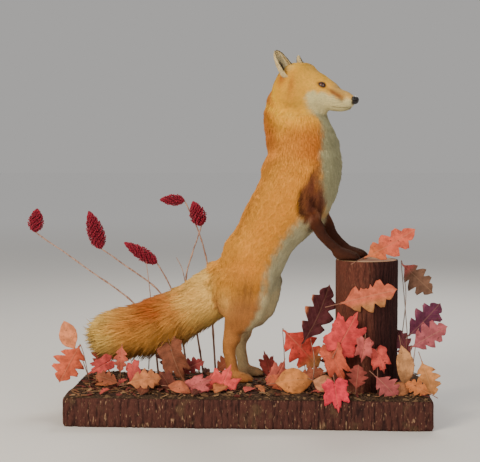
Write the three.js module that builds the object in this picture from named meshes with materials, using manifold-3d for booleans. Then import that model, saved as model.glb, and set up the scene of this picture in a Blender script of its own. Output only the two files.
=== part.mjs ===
// Mounted red fox standing with its forefeet on a log stump, on a bark-edged board
// dressed with autumn leaves and dried sumac. Millimetres, +Z up. The origin is the
// middle of the board's underside, +X runs towards the stump and -Y is the show side.

import * as THREE from 'three';
import { mergeVertices } from 'three/addons/utils/BufferGeometryUtils.js';
import Module from 'manifold-3d';

const wasm = await Module();
wasm.setup();

// ---- Driving dimensions ----

const gap = 0.3; // clearance kept between neighbouring pieces
const swell = 0.6; // how far a cutting copy is swollen, so that the clearance holds at edges
const board = { length: 758, depth: 288, thickness: 60, wave: 2.2, bevel: 3 };
const soil = { lift: 5.6, slope: 2.4, ripple: 0.9, inset: 5, columns: 10, rows: 5 };
const stump = { x: 250, y: -12, radius: 66, top: 339, flare: 13, bark: 2.2, sides: 24 };
const fox = { x: -20, y: 55, z: 68, turn: -14 }; // where the fox stands, degrees about +Z
const headPose = { x: 112, z: 640, turn: -11, nod: 15 }; // pivot at the ears, degrees
const pawLevel = 271; // the stump's top above the fox's own ground
const hindLevel = -1.9; // the soil under the hind feet, from the fox's own ground
const neckCut = { x: 130, z: 560 };
const loinCut = { x: 60, z: 322 };
const tailCut = { x: -262, z: 104 };
const furTone = 0.85;

// Stations of the lofted forms, along each one from its first end to its last.
// Torso, neck and tail: x, z, height above and below the line, half width, sideways shift.
const torsoStations = [
  [-20, 178, 20, 24, 22],
  [-8, 200, 52, 60, 50],
  [8, 228, 62, 66, 62],
  [30, 268, 72, 68, 64],
  [50, 305, 66, 66, 62],
  [72, 342, 70, 72, 66],
  [95, 378, 73, 84, 70],
  [117, 412, 78, 88, 73],
  [133, 445, 86, 86, 74],
  [140, 475, 84, 83, 72],
  [142, 505, 80, 77, 66],
  [136, 535, 78, 69, 61],
  [130, 565, 76, 66, 59],
  [127, 595, 71, 59, 57],
  [128, 625, 62, 47, 54],
  [130, 650, 45, 40, 46],
  [131, 664, 14, 14, 15],
];
const tailStations = [
  [-343, 86, 5, 5, 5, -69],
  [-335, 88, 23, 24, 21, -67],
  [-320, 91, 35, 36, 33, -62],
  [-294, 95, 42, 44, 41, -53],
  [-253, 104, 46, 50, 46, -40],
  [-204, 116, 50, 53, 49, -27],
  [-154, 140, 50, 56, 49, -14],
  [-108, 167, 48, 60, 47, -5],
  [-70, 190, 52, 64, 45, 0],
  [-35, 208, 60, 60, 42, 0],
];

// Head, along its own axis from the nape to the nose: x, top, bottom, half width, middle.
const headStations = [
  [-32, 12, -22, 12, -6],
  [-24, 38, -34, 38, -7],
  [-8, 50, -48, 55, -8],
  [12, 56, -55, 63, -9],
  [32, 57, -54, 65, -10],
  [48, 53.5, -49, 60, -9],
  [62, 49, -43, 50, -6],
  [74, 44, -37, 41, -3],
  [84, 38.5, -32.5, 34, 0],
  [92, 33.5, -30, 28.5, 1],
  [100, 29.5, -28, 24.5, 0],
  [112, 26, -26.5, 21, -1],
  [124, 23.5, -24, 18.5, -1],
  [134, 21, -20, 16, 0],
  [143, 18, -15, 13.5, 1],
  [149, 14, -9, 9.5, 2],
  [151, 8, -4, 4, 2],
];
const nose = { from: 142, to: 160, top: 17, bottom: -1, half: 10.5 };
const eye = { x: 80, y: 21.5, z: 20.5, radius: 9.5 };
const ear = {
  base: [6, 37, 26],
  tips: { right: [-30, 51, 66], left: [-22.5, 48, 65] }, // the left ear is laid back a little more
  sink: 16,
  half: 21,
  back: 12,
  wall: 3,
  turn: 4, // the opening faces this far outwards from straight ahead
  // share of the length, of the half width and of the depth
  profile: [
    [0, 0.78, 1],
    [0.25, 1, 1],
    [0.5, 0.95, 0.82],
    [0.72, 0.76, 0.62],
    [0.88, 0.5, 0.42],
    [1, 0.16, 0.2],
  ],
};

// Legs, from the top down: x, z, ahead of and behind the line, half width, out from the middle.
const foreStations = [
  [112, 500, 26, 26, 15, 44],
  [116, 480, 40, 40, 26, 45],
  [134, 442, 36, 34, 25, 46],
  [157, 408, 21, 21, 19, 43],
  [169, 366, 15.5, 15.5, 14.5, 40],
  [181, 345, 15, 15, 13.5, 38],
  [192, 324, 12, 12, 12, 36],
  [208, 306, 11, 11, 11.5, 33],
  [226, 292, 11, 11, 12, 31],
];
const forePawStations = [
  [214, 296, 8, 6, 8, 32],
  [221, 290, 13, 12, 14, 31],
  [234, 285, 13, 18, 17.5, 30],
  [249, 282, 12, 20, 20, 30],
  [262, 279, 10, 20, 19, 30],
  [271, 275, 6, 20, 13, 30],
  [274, 273, 2, 8, 4, 30],
];
const hindStations = [
  [4, 252, 52, 40, 22, 32],
  [8, 232, 79, 58, 35, 34],
  [15, 195, 67, 56, 37, 38],
  [17, 160, 55, 53, 34, 40],
  [12, 134, 38, 38, 28, 40],
  [0, 112, 18, 26, 21, 39],
  [-6, 95, 21, 21, 17, 39],
  [-13, 78, 16, 16.5, 15.5, 38],
  [-12, 58, 14, 14, 13.5, 38],
  [-8, 40, 13, 13.5, 13, 38],
  [-5, 22, 13, 13, 13, 38],
];
const hindPawStations = [
  [-20, 14, 8, 6, 8, 38],
  [-13, 12, 13, 20, 13, 38],
  [0, 10, 14, 20, 16, 38],
  [16, 8, 13, 20, 18.5, 38],
  [30, 6, 11, 20, 18, 38],
  [40, 3, 6, 20, 12.5, 38],
  [43, 1, 2, 8, 4, 38],
];

// Sumac: each stem's points from the board up, then the fruit head's length and radius.
const sumac = [
  {
    stem: [[-216, 137, 62], [-229, 137, 150], [-273, 137, 223], [-369, 134, 295], [-498, 131, 386]],
    head: [52, 17],
    lean: [0.1, 0, 1],
  },
  {
    stem: [[-190, 138, 62], [-191, 138, 190], [-216, 137, 253], [-299, 136, 315], [-346, 134, 349]],
    head: [88, 19],
    lean: [-0.32, 0, 1],
  },
  {
    stem: [[-150, 139, 62], [-164, 139, 170], [-183, 139, 250], [-218, 138, 316]],
    head: [86, 15],
    lean: [-1, 0, 0.62],
  },
  {
    stem: [[-112, 138, 62], [-134, 137, 200], [-151, 134, 281], [-114, 122, 403]],
    head: [56, 18],
    lean: [-0.35, 0, 1],
  },
  {
    stem: [[-84, 139, 62], [-95, 140, 240], [-104, 142, 318], [-123, 146, 388], [-156, 147, 460]],
    head: [54, 13],
    lean: [-1, 0, 0.02],
  },
];
const stemRadius = [2.6, 2.6, 2.2, 2.0, 1.8];

// Leaves: middle of the blade, length and width, where the tip points in the leaf's own
// plane (0 right, 90 up), how far it turns from the show side and leans back, in degrees.
const leafThickness = 1.2;
const leaves = [
  {
    tone: 'tan', at: [-408, 62, 160], size: [70, 44], aim: 118, face: -12, lean: 8,
    lobes: 2, depth: 0.15, curl: 8, post: [-366, 68, 66],
  },
  {
    tone: 'pink', at: [-391, -6, 108], size: [98, 74], aim: -118, face: 8, lean: -8,
    lobes: 3, depth: 0.24, curl: -9, post: [-352, 8, 66],
  },
  {
    tone: 'pink', at: [-281, 4, 118], size: [60, 34], aim: -96, face: 12, lean: 6,
    lobes: 2, depth: 0.14, curl: 6, post: [-285, 16, 66],
  },
  {
    tone: 'tan', at: [-217, -88, 88], size: [74, 48], aim: 8, face: 6, lean: 30,
    lobes: 3, depth: 0.21, curl: 14,
  },
  {
    tone: 'mauve', at: [-160, 12, 108], size: [92, 66], aim: -64, face: -14, lean: 12,
    lobes: 3, depth: 0.24, curl: 12,
  },
  {
    tone: 'mauve', at: [-101, -98, 82], size: [62, 44], aim: 28, face: -6, lean: 34,
    lobes: 2, depth: 0.21, curl: 8,
  },
  {
    tone: 'red', at: [-50, -80, 84], size: [76, 66], aim: 68, face: 4, lean: 22,
    lobes: 2, depth: 0.29, curl: -6,
  },
  {
    tone: 'red', at: [112, 24, 140], size: [116, 76], aim: -48, face: 10, lean: 10,
    lobes: 3, depth: 0.21, curl: 12, post: [78, 40, 66],
  },
  {
    tone: 'gold', at: [98, -88, 90], size: [80, 52], aim: 4, face: 4, lean: 26,
    lobes: 2, depth: 0.17, curl: 16,
  },
  {
    tone: 'mauve', at: [146, 26, 214], size: [148, 72], aim: 62, face: 22, lean: 4,
    lobes: 2, depth: 0.14, curl: 18, post: [124, 46, 66],
  },
  {
    tone: 'pink', at: [298, -34, 374], size: [140, 72], aim: 31, face: 6, lean: 34,
    lobes: 3, depth: 0.21, curl: -8,
  },
  {
    tone: 'mauve', at: [362, 22, 296], size: [94, 62], aim: -42, face: -10, lean: 8,
    lobes: 3, depth: 0.21, curl: 10, post: [352, 40, 66],
  },
  {
    tone: 'pink', at: [250, -88, 268], size: [126, 78], aim: 14, face: 0, lean: 4,
    lobes: 3, depth: 0.32, curl: -8,
  },
  {
    tone: 'red', at: [207, -96, 196], size: [88, 78], aim: 62, face: -8, lean: 4,
    lobes: 2, depth: 0.32, curl: -6,
  },
  {
    tone: 'red', at: [186, -96, 128], size: [80, 54], aim: -66, face: -12, lean: 6,
    lobes: 2, depth: 0.21, curl: 8,
  },
  {
    tone: 'red', at: [184, -149, 72], size: [62, 58], aim: -82, face: 0, lean: -2,
    lobes: 2, depth: 0.32, curl: -5,
  },
  {
    tone: 'pink', at: [276, -98, 136], size: [50, 46], aim: -72, face: 6, lean: 4,
    lobes: 2, depth: 0.14, curl: 5, post: [272, -98, 66],
  },
  {
    tone: 'mauve', at: [287, -116, 86], size: [64, 48], aim: -46, face: 8, lean: 14,
    lobes: 3, depth: 0.2, curl: 8,
  },
  {
    tone: 'mauve', at: [372, -30, 212], size: [104, 62], aim: 44, face: 10, lean: 6,
    lobes: 2, depth: 0.18, curl: 10, post: [338, -14, 66],
  },
  {
    tone: 'mauve', at: [378, -72, 182], size: [90, 62], aim: 30, face: 2, lean: 4,
    lobes: 3, depth: 0.25, curl: -8, post: [346, -66, 66],
  },
  {
    tone: 'gold', at: [326, -78, 122], size: [88, 36], aim: -84, face: 14, lean: 4,
    lobes: 2, depth: 0.14, curl: 10,
  },
  {
    tone: 'gold', at: [374, -88, 100], size: [78, 52], aim: -70, face: -8, lean: 10,
    lobes: 3, depth: 0.21, curl: 12,
  },
];
const postRadius = 1.3;

// ---- Finishes ----

function finish(color, roughness) {
  return new THREE.MeshStandardMaterial({ color, roughness, metalness: 0 });
}

const orangeFur = finish(0xc8854a, furTone);
const creamFur = finish(0xd9c7a6, furTone);
const darkFur = finish(0x3a241b, furTone);
const glassEye = finish(0x3a220f, 0.12);
const noseLeather = finish(0x1d1815, 0.45);
const barkWood = finish(0x5a3a2a, 0.92);
const forestSoil = finish(0x4a3527, 0.98);
const stemWood = finish(0x7a5c4c, 0.85);
const sumacFruit = finish(0x7c1f2b, 0.9);
const leafFinishes = {
  tan: finish(0xd0825a, 0.7),
  pink: finish(0xc66a62, 0.7),
  red: finish(0xc23c48, 0.65),
  mauve: finish(0x7a4450, 0.75),
  gold: finish(0xc58a4c, 0.7),
};

// ---- Solids ----

// A closed mesh as a solid, swollen evenly by grow where it is used to cut a clearance.
function toSolid(geometry, grow = 0) {
  const shape = geometry.clone();
  shape.deleteAttribute('normal');
  shape.deleteAttribute('uv');
  const merged = mergeVertices(shape, 1e-4);
  merged.computeVertexNormals();
  const { position, normal } = merged.attributes;
  for (let i = 0; i < position.array.length; i += 1) {
    position.array[i] += normal.array[i] * grow;
  }
  return new wasm.Manifold(new wasm.Mesh({
    numProp: 3,
    vertProperties: new Float32Array(position.array),
    triVerts: new Uint32Array(merged.index.array),
  }));
}

function toGeometry(solid) {
  const mesh = solid.getMesh();
  const geometry = new THREE.BufferGeometry();
  geometry.setAttribute('position', new THREE.BufferAttribute(mesh.vertProperties, 3));
  geometry.setIndex(new THREE.BufferAttribute(mesh.triVerts, 1));
  const flat = geometry.toNonIndexed();
  flat.computeVertexNormals();
  return flat;
}

// The largest of the pieces that a cut leaves.
function largest(solid) {
  const pieces = solid.decompose();
  pieces.sort((a, b) => b.volume() - a.volume());
  return pieces[0];
}

function indexed(points, faces) {
  const geometry = new THREE.BufferGeometry();
  geometry.setAttribute('position', new THREE.Float32BufferAttribute(points.flat(), 3));
  geometry.setIndex(faces.flat());
  return geometry;
}

// One closed form through egg-shaped rings that stand square to a smooth line.
// rings: { at, above, below, half }, the line's side is the world's Y.
function loft(rings, { steps, sides, fullness = 2.2 }) {
  const line = new THREE.CatmullRomCurve3(rings.map((r) => new THREE.Vector3(...r.at)), false, 'catmullrom');
  const radii = rings.map((r) => new THREE.Vector3(r.above, r.below, r.half));
  const size = new THREE.CatmullRomCurve3(radii, false, 'catmullrom');
  const points = [];
  const faces = [];
  const side = new THREE.Vector3(0, 1, 0);
  for (let i = 0; i <= steps; i += 1) {
    const t = i / steps;
    const centre = line.getPoint(t);
    const along = line.getTangent(t);
    const up = new THREE.Vector3().crossVectors(along, side).normalize();
    const across = new THREE.Vector3().crossVectors(up, along).normalize();
    const radius = size.getPoint(t);
    for (let j = 0; j < sides; j += 1) {
      const angle = (j / sides) * Math.PI * 2;
      const c = Math.cos(angle);
      const s = Math.sin(angle);
      const rise = (s > 0 ? radius.x : radius.y) * Math.sign(s) * Math.abs(s) ** (2 / fullness);
      const reach = radius.z * Math.sign(c) * Math.abs(c) ** (2 / fullness);
      const p = centre.clone().addScaledVector(across, reach).addScaledVector(up, rise);
      points.push(p.toArray());
    }
  }
  for (let i = 0; i < steps; i += 1) {
    for (let j = 0; j < sides; j += 1) {
      const a = i * sides + j;
      const b = i * sides + ((j + 1) % sides);
      faces.push([a, b, a + sides], [b, b + sides, a + sides]);
    }
  }
  const first = points.push(line.getPoint(0).toArray()) - 1;
  const last = points.push(line.getPoint(1).toArray()) - 1;
  for (let j = 0; j < sides; j += 1) {
    const k = (j + 1) % sides;
    faces.push([first, k, j], [last, steps * sides + j, steps * sides + k]);
  }
  return indexed(points, faces);
}

// Rings from rows of x, z, above, below, half width and sideways shift.
function rings(rows, shift = { x: 0, y: 0 }, mirror = 1) {
  return rows.map(([x, z, above, below, half, y = 0]) => (
    { at: [x + shift.x, (y + shift.y) * mirror, z], above, below, half }
  ));
}

// The part of a solid ahead of a plane (towards its normal), or behind it.
function ahead(solid, normal, at) {
  const n = new THREE.Vector3(...normal).normalize();
  return solid.trimByPlane(n.toArray(), n.dot(new THREE.Vector3(...at)) + gap / 2);
}

function behind(solid, normal, at) {
  const n = new THREE.Vector3(...normal).normalize().negate();
  return solid.trimByPlane(n.toArray(), n.dot(new THREE.Vector3(...at)) + gap / 2);
}

// ---- Scene graph ----

const model = new THREE.Group();
const foxGroup = new THREE.Group();
foxGroup.position.set(fox.x, fox.y, fox.z);
foxGroup.rotation.z = THREE.MathUtils.degToRad(fox.turn);
model.add(foxGroup);

function add(group, name, shape, material) {
  const geometry = shape.isBufferGeometry ? shape : toGeometry(shape);
  const mesh = new THREE.Mesh(geometry, material);
  mesh.name = name;
  group.add(mesh);
}

// ---- Board, soil and stump ----

function soilHeight(x, y) {
  const wave = Math.sin(x / 31) * Math.cos(y / 23) + 0.6 * Math.sin(x / 13 + y / 17);
  const rough = soil.lift + (soil.slope * x * 2) / board.length + soil.ripple * wave;
  const away = Math.hypot(x + 4, y - 36) / 70; // level ground under the hind feet
  const blend = THREE.MathUtils.smoothstep(away, 0.95, 1.5);
  return board.thickness + THREE.MathUtils.lerp(5.8, rough, blend);
}

function boardSolid() {
  const outline = new THREE.Shape();
  const perSide = 9;
  const corners = [[-1, -1], [1, -1], [1, 1], [-1, 1]];
  const points = [];
  corners.forEach(([cx, cy], k) => {
    const [nx, ny] = corners[(k + 1) % 4];
    for (let i = 0; i < perSide; i += 1) {
      const t = i / perSide;
      const x = THREE.MathUtils.lerp(cx, nx, t) * (board.length / 2 - board.wave - board.bevel);
      const y = THREE.MathUtils.lerp(cy, ny, t) * (board.depth / 2 - board.wave - board.bevel);
      const sway = board.wave * Math.sin(x / 19 + y / 11) * Math.sin(Math.PI * t);
      points.push(new THREE.Vector2(x + (k % 2 ? sway : 0), y + (k % 2 ? 0 : sway)));
    }
  });
  outline.setFromPoints(points);
  const geometry = new THREE.ExtrudeGeometry(outline, {
    depth: board.thickness - 2 * board.bevel,
    bevelSize: board.bevel,
    bevelThickness: board.bevel,
    bevelSegments: 1,
  });
  return geometry.translate(0, 0, board.bevel);
}

// A slab with a rolling top: a grid of heights over a flat underside.
function soilSolid(grow) {
  const points = [];
  const faces = [];
  const { columns, rows, inset } = soil;
  for (const top of [1, 0]) {
    for (let j = 0; j <= rows; j += 1) {
      for (let i = 0; i <= columns; i += 1) {
        const x = (i / columns - 0.5) * (board.length - 2 * inset);
        const y = (j / rows - 0.5) * (board.depth - 2 * inset);
        points.push([x, y, top ? soilHeight(x, y) : board.thickness + gap]);
      }
    }
  }
  const layer = (columns + 1) * (rows + 1);
  const at = (i, j) => j * (columns + 1) + i;
  for (let j = 0; j < rows; j += 1) {
    for (let i = 0; i < columns; i += 1) {
      const [a, b, c, d] = [at(i, j), at(i + 1, j), at(i + 1, j + 1), at(i, j + 1)];
      faces.push([a, b, c], [a, c, d], [a + layer, c + layer, b + layer], [a + layer, d + layer, c + layer]);
    }
  }
  const rim = [];
  for (let i = 0; i < columns; i += 1) rim.push(at(i, 0));
  for (let j = 0; j < rows; j += 1) rim.push(at(columns, j));
  for (let i = columns; i > 0; i -= 1) rim.push(at(i, rows));
  for (let j = rows; j > 0; j -= 1) rim.push(at(0, j));
  rim.forEach((a, k) => {
    const b = rim[(k + 1) % rim.length];
    faces.push([a, a + layer, b], [b, a + layer, b + layer]);
  });
  return toSolid(indexed(points, faces), grow);
}

// The log: furrowed bark, roots flaring at the foot, a level sawn top.
function stumpSolid(grow) {
  const height = stump.top - board.thickness - gap;
  const geometry = new THREE.CylinderGeometry(1, 1, height, stump.sides, 5);
  geometry.rotateX(Math.PI / 2).translate(0, 0, board.thickness + gap + height / 2);
  const place = geometry.attributes.position;
  for (let i = 0; i < place.count; i += 1) {
    const x = place.getX(i);
    const y = place.getY(i);
    const z = place.getZ(i);
    const angle = Math.atan2(y, x);
    const low = Math.max(0, 1 - (z - board.thickness) / 90);
    const furrow = stump.bark * Math.sin(angle * 11 + 0.8 * Math.sin(z / 41)) + 2 * Math.sin(angle * 3 + 1);
    const root = stump.flare * low * low * (1 + 0.35 * Math.sin(angle * 5));
    const radius = stump.radius + furrow + root;
    place.setX(i, stump.x + x * radius);
    place.setY(i, stump.y + y * radius);
  }
  return toSolid(geometry, grow);
}

const stumpWithGap = stumpSolid(swell);
const soilWithGap = soilSolid(swell);
add(model, 'base_board', boardSolid(), barkWood);
add(model, 'base_soil', largest(soilSolid(0).subtract(stumpWithGap)), forestSoil);
add(model, 'stump', stumpSolid(0), barkWood);

// ---- Fox: head ----

const headMatrix = new THREE.Matrix4()
  .makeTranslation(headPose.x, 0, headPose.z)
  .multiply(new THREE.Matrix4().makeRotationZ(THREE.MathUtils.degToRad(headPose.turn)))
  .multiply(new THREE.Matrix4().makeRotationY(THREE.MathUtils.degToRad(headPose.nod)));

function headLoft(grow) {
  const rows = headStations.map(([x, top, bottom, half, middle]) => (
    { at: [x, 0, middle], above: top - middle, below: middle - bottom, half }
  ));
  return toSolid(loft(rows, { steps: 22, sides: 18 }).applyMatrix4(headMatrix), grow);
}

function eyeSolid(side, grow) {
  const ball = new THREE.SphereGeometry(eye.radius, 9, 7);
  ball.translate(eye.x, side * eye.y, eye.z);
  return toSolid(ball.applyMatrix4(headMatrix), grow);
}

function noseSolid(grow) {
  const middle = (nose.top + nose.bottom) / 2;
  const tall = nose.top - middle;
  const long = nose.to - nose.from;
  const rows = [[0, 0.6], [0.25, 0.9], [0.6, 1], [0.86, 0.82], [1, 0.35]].map(([t, size]) => (
    { at: [nose.from + t * long, 0, middle], above: tall * size, below: tall * size, half: nose.half * size }
  ));
  return toSolid(loft(rows, { steps: 4, sides: 10, fullness: 2.4 }).applyMatrix4(headMatrix), grow);
}

// A cupped ear: a rounded blade with its front scooped out. Its own Z runs to the tip.
function earSolid(side, grow) {
  const base = new THREE.Vector3(ear.base[0], side * ear.base[1], ear.base[2]);
  const [tipX, tipY, tipZ] = side < 0 ? ear.tips.right : ear.tips.left;
  const tip = new THREE.Vector3(tipX, side * tipY, tipZ);
  const up = tip.clone().sub(base);
  const long = up.length();
  up.normalize();
  const turn = THREE.MathUtils.degToRad(side * ear.turn);
  const front = new THREE.Vector3(Math.cos(turn), Math.sin(turn), 0);
  front.addScaledVector(up, -front.dot(up)).normalize();
  const across = new THREE.Vector3().crossVectors(up, front);
  const frame = new THREE.Matrix4().makeBasis(front, across, up).setPosition(base);
  const blade = ear.profile.map(([t, wide, deep]) => ({
    at: [0, 0, THREE.MathUtils.lerp(-ear.sink, long, t)],
    above: ear.back * deep,
    below: ear.back * 0.5 * deep,
    half: ear.half * wide,
  }));
  const scoop = ear.profile.slice(1).map(([t, wide, deep], i) => ({
    at: [ear.back * deep * 0.6, 0, THREE.MathUtils.lerp(i === 0 ? 4 : -ear.sink, long - 4, t)],
    above: ear.back * deep * 1.6 - ear.wall,
    below: ear.back,
    half: Math.max(ear.half * wide - ear.wall, 1.5),
  }));
  const outer = toSolid(loft(blade, { steps: 5, sides: 10 }), grow);
  if (grow > 0) return outer.transform(frame.toArray()).transform(headMatrix.toArray());
  const inner = toSolid(loft(scoop, { steps: 4, sides: 8 }));
  return outer.subtract(inner).transform(frame.toArray()).transform(headMatrix.toArray());
}

// ---- Fox: body and limbs ----

function bodyLoft(stations, options, grow = 0) {
  return toSolid(loft(rings(stations), options), grow);
}

function limb(stations, side, shift, options, grow = 0) {
  return toSolid(loft(rings(stations, shift, side), options), grow);
}

const sides = [{ name: 'right', side: -1 }, { name: 'left', side: 1 }];
const forwardSet = { right: { fore: -2, hind: -3 }, left: { fore: 3, hind: -2 } };
const torsoShape = { steps: 20, sides: 18 };
const tailShape = { steps: 11, sides: 14 };
const hindShape = { steps: 12, sides: 10 };
const headWithGap = headLoft(swell);
const torso = bodyLoft(torsoStations, torsoShape);
const torsoWithGap = bodyLoft(torsoStations, torsoShape, swell);
const neckNormal = [-0.18, 0, 1];
const loinNormal = [0.52, 0, 0.85];
const neckAt = [neckCut.x, 0, neckCut.z];
const loinAt = [loinCut.x, 0, loinCut.z];

let head = headLoft(0).subtract(noseSolid(swell));
for (const { side } of sides) head = head.subtract(eyeSolid(side, swell));
add(foxGroup, 'head', largest(head), orangeFur);
add(foxGroup, 'nose', noseSolid(0), noseLeather);
for (const { name, side } of sides) {
  add(foxGroup, `eye_${name}`, eyeSolid(side, 0), glassEye);
  add(foxGroup, `ear_${name}`, largest(earSolid(side, 0).subtract(headWithGap)), darkFur);
}

const earsWithGap = sides.map(({ side }) => earSolid(side, swell));
const neckOnly = ahead(torso, neckNormal, neckAt).subtract(headWithGap).subtract(headLoft(0));
add(foxGroup, 'neck', largest(neckOnly.subtract(earsWithGap[0]).subtract(earsWithGap[1])), creamFur);
add(foxGroup, 'chest', largest(ahead(behind(torso, neckNormal, neckAt), loinNormal, loinAt)), orangeFur);
add(foxGroup, 'trunk', largest(behind(torso, loinNormal, loinAt)), orangeFur);

let tail = bodyLoft(tailStations, tailShape).subtract(torsoWithGap);
for (const { name, side } of sides) {
  const shift = { x: forwardSet[name].fore, y: 0 };
  const level = [0, 0, pawLevel + gap / 2];
  const wrist = [0.75, 0, -0.66];
  const wristAt = [221 + shift.x, 0, 294];
  const foreleg = limb(foreStations, side, shift, { steps: 8, sides: 8 }).subtract(torsoWithGap);
  const forePaw = limb(forePawStations, side, shift, { steps: 6, sides: 8 });
  add(foxGroup, `foreleg_${name}`, largest(behind(foreleg, wrist, wristAt)), darkFur);
  add(foxGroup, `forepaw_${name}`, largest(ahead(ahead(forePaw, [0, 0, 1], level), wrist, wristAt)), darkFur);
}
for (const { name, side } of sides) {
  const shift = { x: forwardSet[name].hind, y: 0 };
  const down = [0.2, 0, -1];
  const hock = [shift.x, 0, 104];
  const ankle = [-5 + shift.x, 0, 24];
  const level = [0, 0, hindLevel + gap / 2];
  const leg = limb(hindStations, side, shift, hindShape);
  const paw = limb(hindPawStations, side, shift, { steps: 6, sides: 8 });
  tail = tail.subtract(limb(hindStations, side, shift, hindShape, swell));
  add(foxGroup, `thigh_${name}`, largest(behind(leg, down, hock).subtract(torsoWithGap)), orangeFur);
  add(foxGroup, `shank_${name}`, largest(behind(ahead(leg, down, hock), [0, 0, -1], ankle)), orangeFur);
  add(foxGroup, `hindpaw_${name}`, largest(ahead(ahead(paw, [0, 0, 1], level), [0, 0, -1], ankle)), darkFur);
}

const tailNormal = [0.97, 0.2, 0.25];
const tailAt = [tailCut.x, -40, tailCut.z];
add(foxGroup, 'tail', largest(ahead(tail, tailNormal, tailAt)), orangeFur);
add(foxGroup, 'tail_tip', largest(behind(tail, tailNormal, tailAt)), creamFur);

// ---- Sumac ----

function polygon(radius, count) {
  const points = [];
  for (let i = 0; i < count; i += 1) {
    const angle = (i / count) * Math.PI * 2;
    points.push(new THREE.Vector2(radius * Math.cos(angle), radius * Math.sin(angle)));
  }
  return new THREE.Shape(points);
}

function tube(points, radius, count, steps) {
  const path = new THREE.CatmullRomCurve3(points.map((p) => new THREE.Vector3(...p)));
  return new THREE.ExtrudeGeometry(polygon(radius, count), { steps, extrudePath: path, bevelEnabled: false });
}

// A spindle of packed fruit, its broad end on the stem.
function fruitHead(foot, lean, [long, radius]) {
  const profile = [];
  const bands = 5;
  for (let i = 0; i <= bands; i += 1) {
    const t = i / bands;
    const bulge = Math.sin(Math.PI * t ** 0.75) ** 0.7;
    profile.push(new THREE.Vector2(i % bands === 0 ? 0 : radius * bulge, long * t));
  }
  const geometry = new THREE.LatheGeometry(profile, 7);
  const up = new THREE.Vector3(...lean).normalize();
  geometry.applyQuaternion(new THREE.Quaternion().setFromUnitVectors(new THREE.Vector3(0, 1, 0), up));
  const start = new THREE.Vector3(...foot).addScaledVector(up, stemRadius[0] + gap);
  return toSolid(geometry.translate(...start.toArray()));
}

// What already stands on the board, so that later pieces are cut clear of it.
const placed = [];
sumac.forEach(({ stem, head: size, lean }, i) => {
  const fatter = toSolid(tube(stem, stemRadius[i], 4, 8), swell);
  let branch = toSolid(tube(stem, stemRadius[i], 4, 8)).subtract(soilWithGap);
  placed.forEach((other) => { branch = branch.subtract(other); });
  placed.push(fatter);
  add(model, `sumac_stem_${i + 1}`, largest(branch), stemWood);
  add(model, `sumac_head_${i + 1}`, fruitHead(stem[stem.length - 1], lean, size), sumacFruit);
});

// ---- Leaves ----

// A thin lobed blade on its own plane: midrib along X, faces along Z.
function blade({ size, lobes, depth, curl }) {
  const [long, wide] = size;
  const columns = 3 * lobes + 1;
  const half = leafThickness / 2;
  const points = [];
  const faces = [];
  for (const layer of [1, -1]) {
    for (let i = 0; i <= columns; i += 1) {
      const t = i / columns;
      const lobe = 1 - depth * (1 - Math.cos(t * lobes * Math.PI * 2 + 2.6)) * 0.7;
      const span = (wide / 2) * (0.05 + Math.sin(Math.PI * t ** 0.8) ** 0.75 * lobe);
      const lift = curl * (0.6 - (2 * t - 1) ** 2);
      for (const v of [-1, 1]) points.push([(t - 0.5) * long, v * span, lift + layer * half]);
    }
  }
  const count = (columns + 1) * 2;
  for (let i = 0; i < columns; i += 1) {
    const a = i * 2;
    faces.push([a, a + 2, a + 3], [a, a + 3, a + 1]);
    faces.push([a + count, a + count + 3, a + count + 2], [a + count, a + count + 1, a + count + 3]);
  }
  const rim = [];
  for (let i = 0; i <= columns; i += 1) rim.push(i * 2);
  for (let i = columns; i >= 0; i -= 1) rim.push(i * 2 + 1);
  rim.forEach((a, k) => {
    const b = rim[(k + 1) % rim.length];
    faces.push([a, a + count, b], [b, a + count, b + count]);
  });
  return indexed(points, faces);
}

function leafMatrix({ at, aim, face, lean }) {
  const [turn, tilt, roll] = [face, lean, aim].map(THREE.MathUtils.degToRad);
  const right = new THREE.Vector3(Math.cos(turn), Math.sin(turn), 0);
  const front = new THREE.Vector3(Math.sin(turn), -Math.cos(turn), 0);
  const normal = front.multiplyScalar(Math.cos(tilt)).setZ(Math.sin(tilt));
  const up = new THREE.Vector3().crossVectors(normal, right);
  const tip = right.multiplyScalar(Math.cos(roll)).addScaledVector(up, Math.sin(roll));
  const across = new THREE.Vector3().crossVectors(normal, tip);
  return new THREE.Matrix4().makeBasis(tip, across, normal).setPosition(...at);
}

// A blade with the wire stalk that holds it up, where it stands clear of the ground.
function leafSolid(leaf, grow) {
  const matrix = leafMatrix(leaf);
  const body = toSolid(blade(leaf).applyMatrix4(matrix), grow);
  if (!leaf.post) return body;
  const foot = new THREE.Vector3(...leaf.post);
  const top = new THREE.Vector3((-leaf.size[0] / 2) * 0.8, 0, 0).applyMatrix4(matrix);
  const bend = foot.clone().lerp(top, 0.5).setX(foot.x * 0.7 + top.x * 0.3);
  const route = [foot.clone().setZ(board.thickness), bend, top].map((p) => p.toArray());
  return body.add(toSolid(tube(route, postRadius, 4, 3), grow));
}

const foxKeepOut = [torsoWithGap, bodyLoft(tailStations, tailShape, swell)];
const foxMatrix = new THREE.Matrix4()
  .makeRotationZ(THREE.MathUtils.degToRad(fox.turn))
  .setPosition(fox.x, fox.y, fox.z);
const obstacles = [soilWithGap, stumpWithGap, ...foxKeepOut.map((s) => s.transform(foxMatrix.toArray()))];
leaves.forEach((leaf, i) => {
  let piece = leafSolid(leaf, 0);
  [...obstacles, ...placed].forEach((other) => { piece = piece.subtract(other); });
  placed.push(leafSolid(leaf, swell));
  add(model, `leaf_${String(i + 1).padStart(2, '0')}`, largest(piece), leafFinishes[leaf.tone]);
});

export default model;
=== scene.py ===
# Mounted red fox on a log stump, with its board, autumn leaves and dried sumac.
import math
import bmesh
import bpy
import numpy as np
from mathutils import Matrix, Vector
from mathutils.bvhtree import BVHTree
from mathutils.kdtree import KDTree


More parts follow.
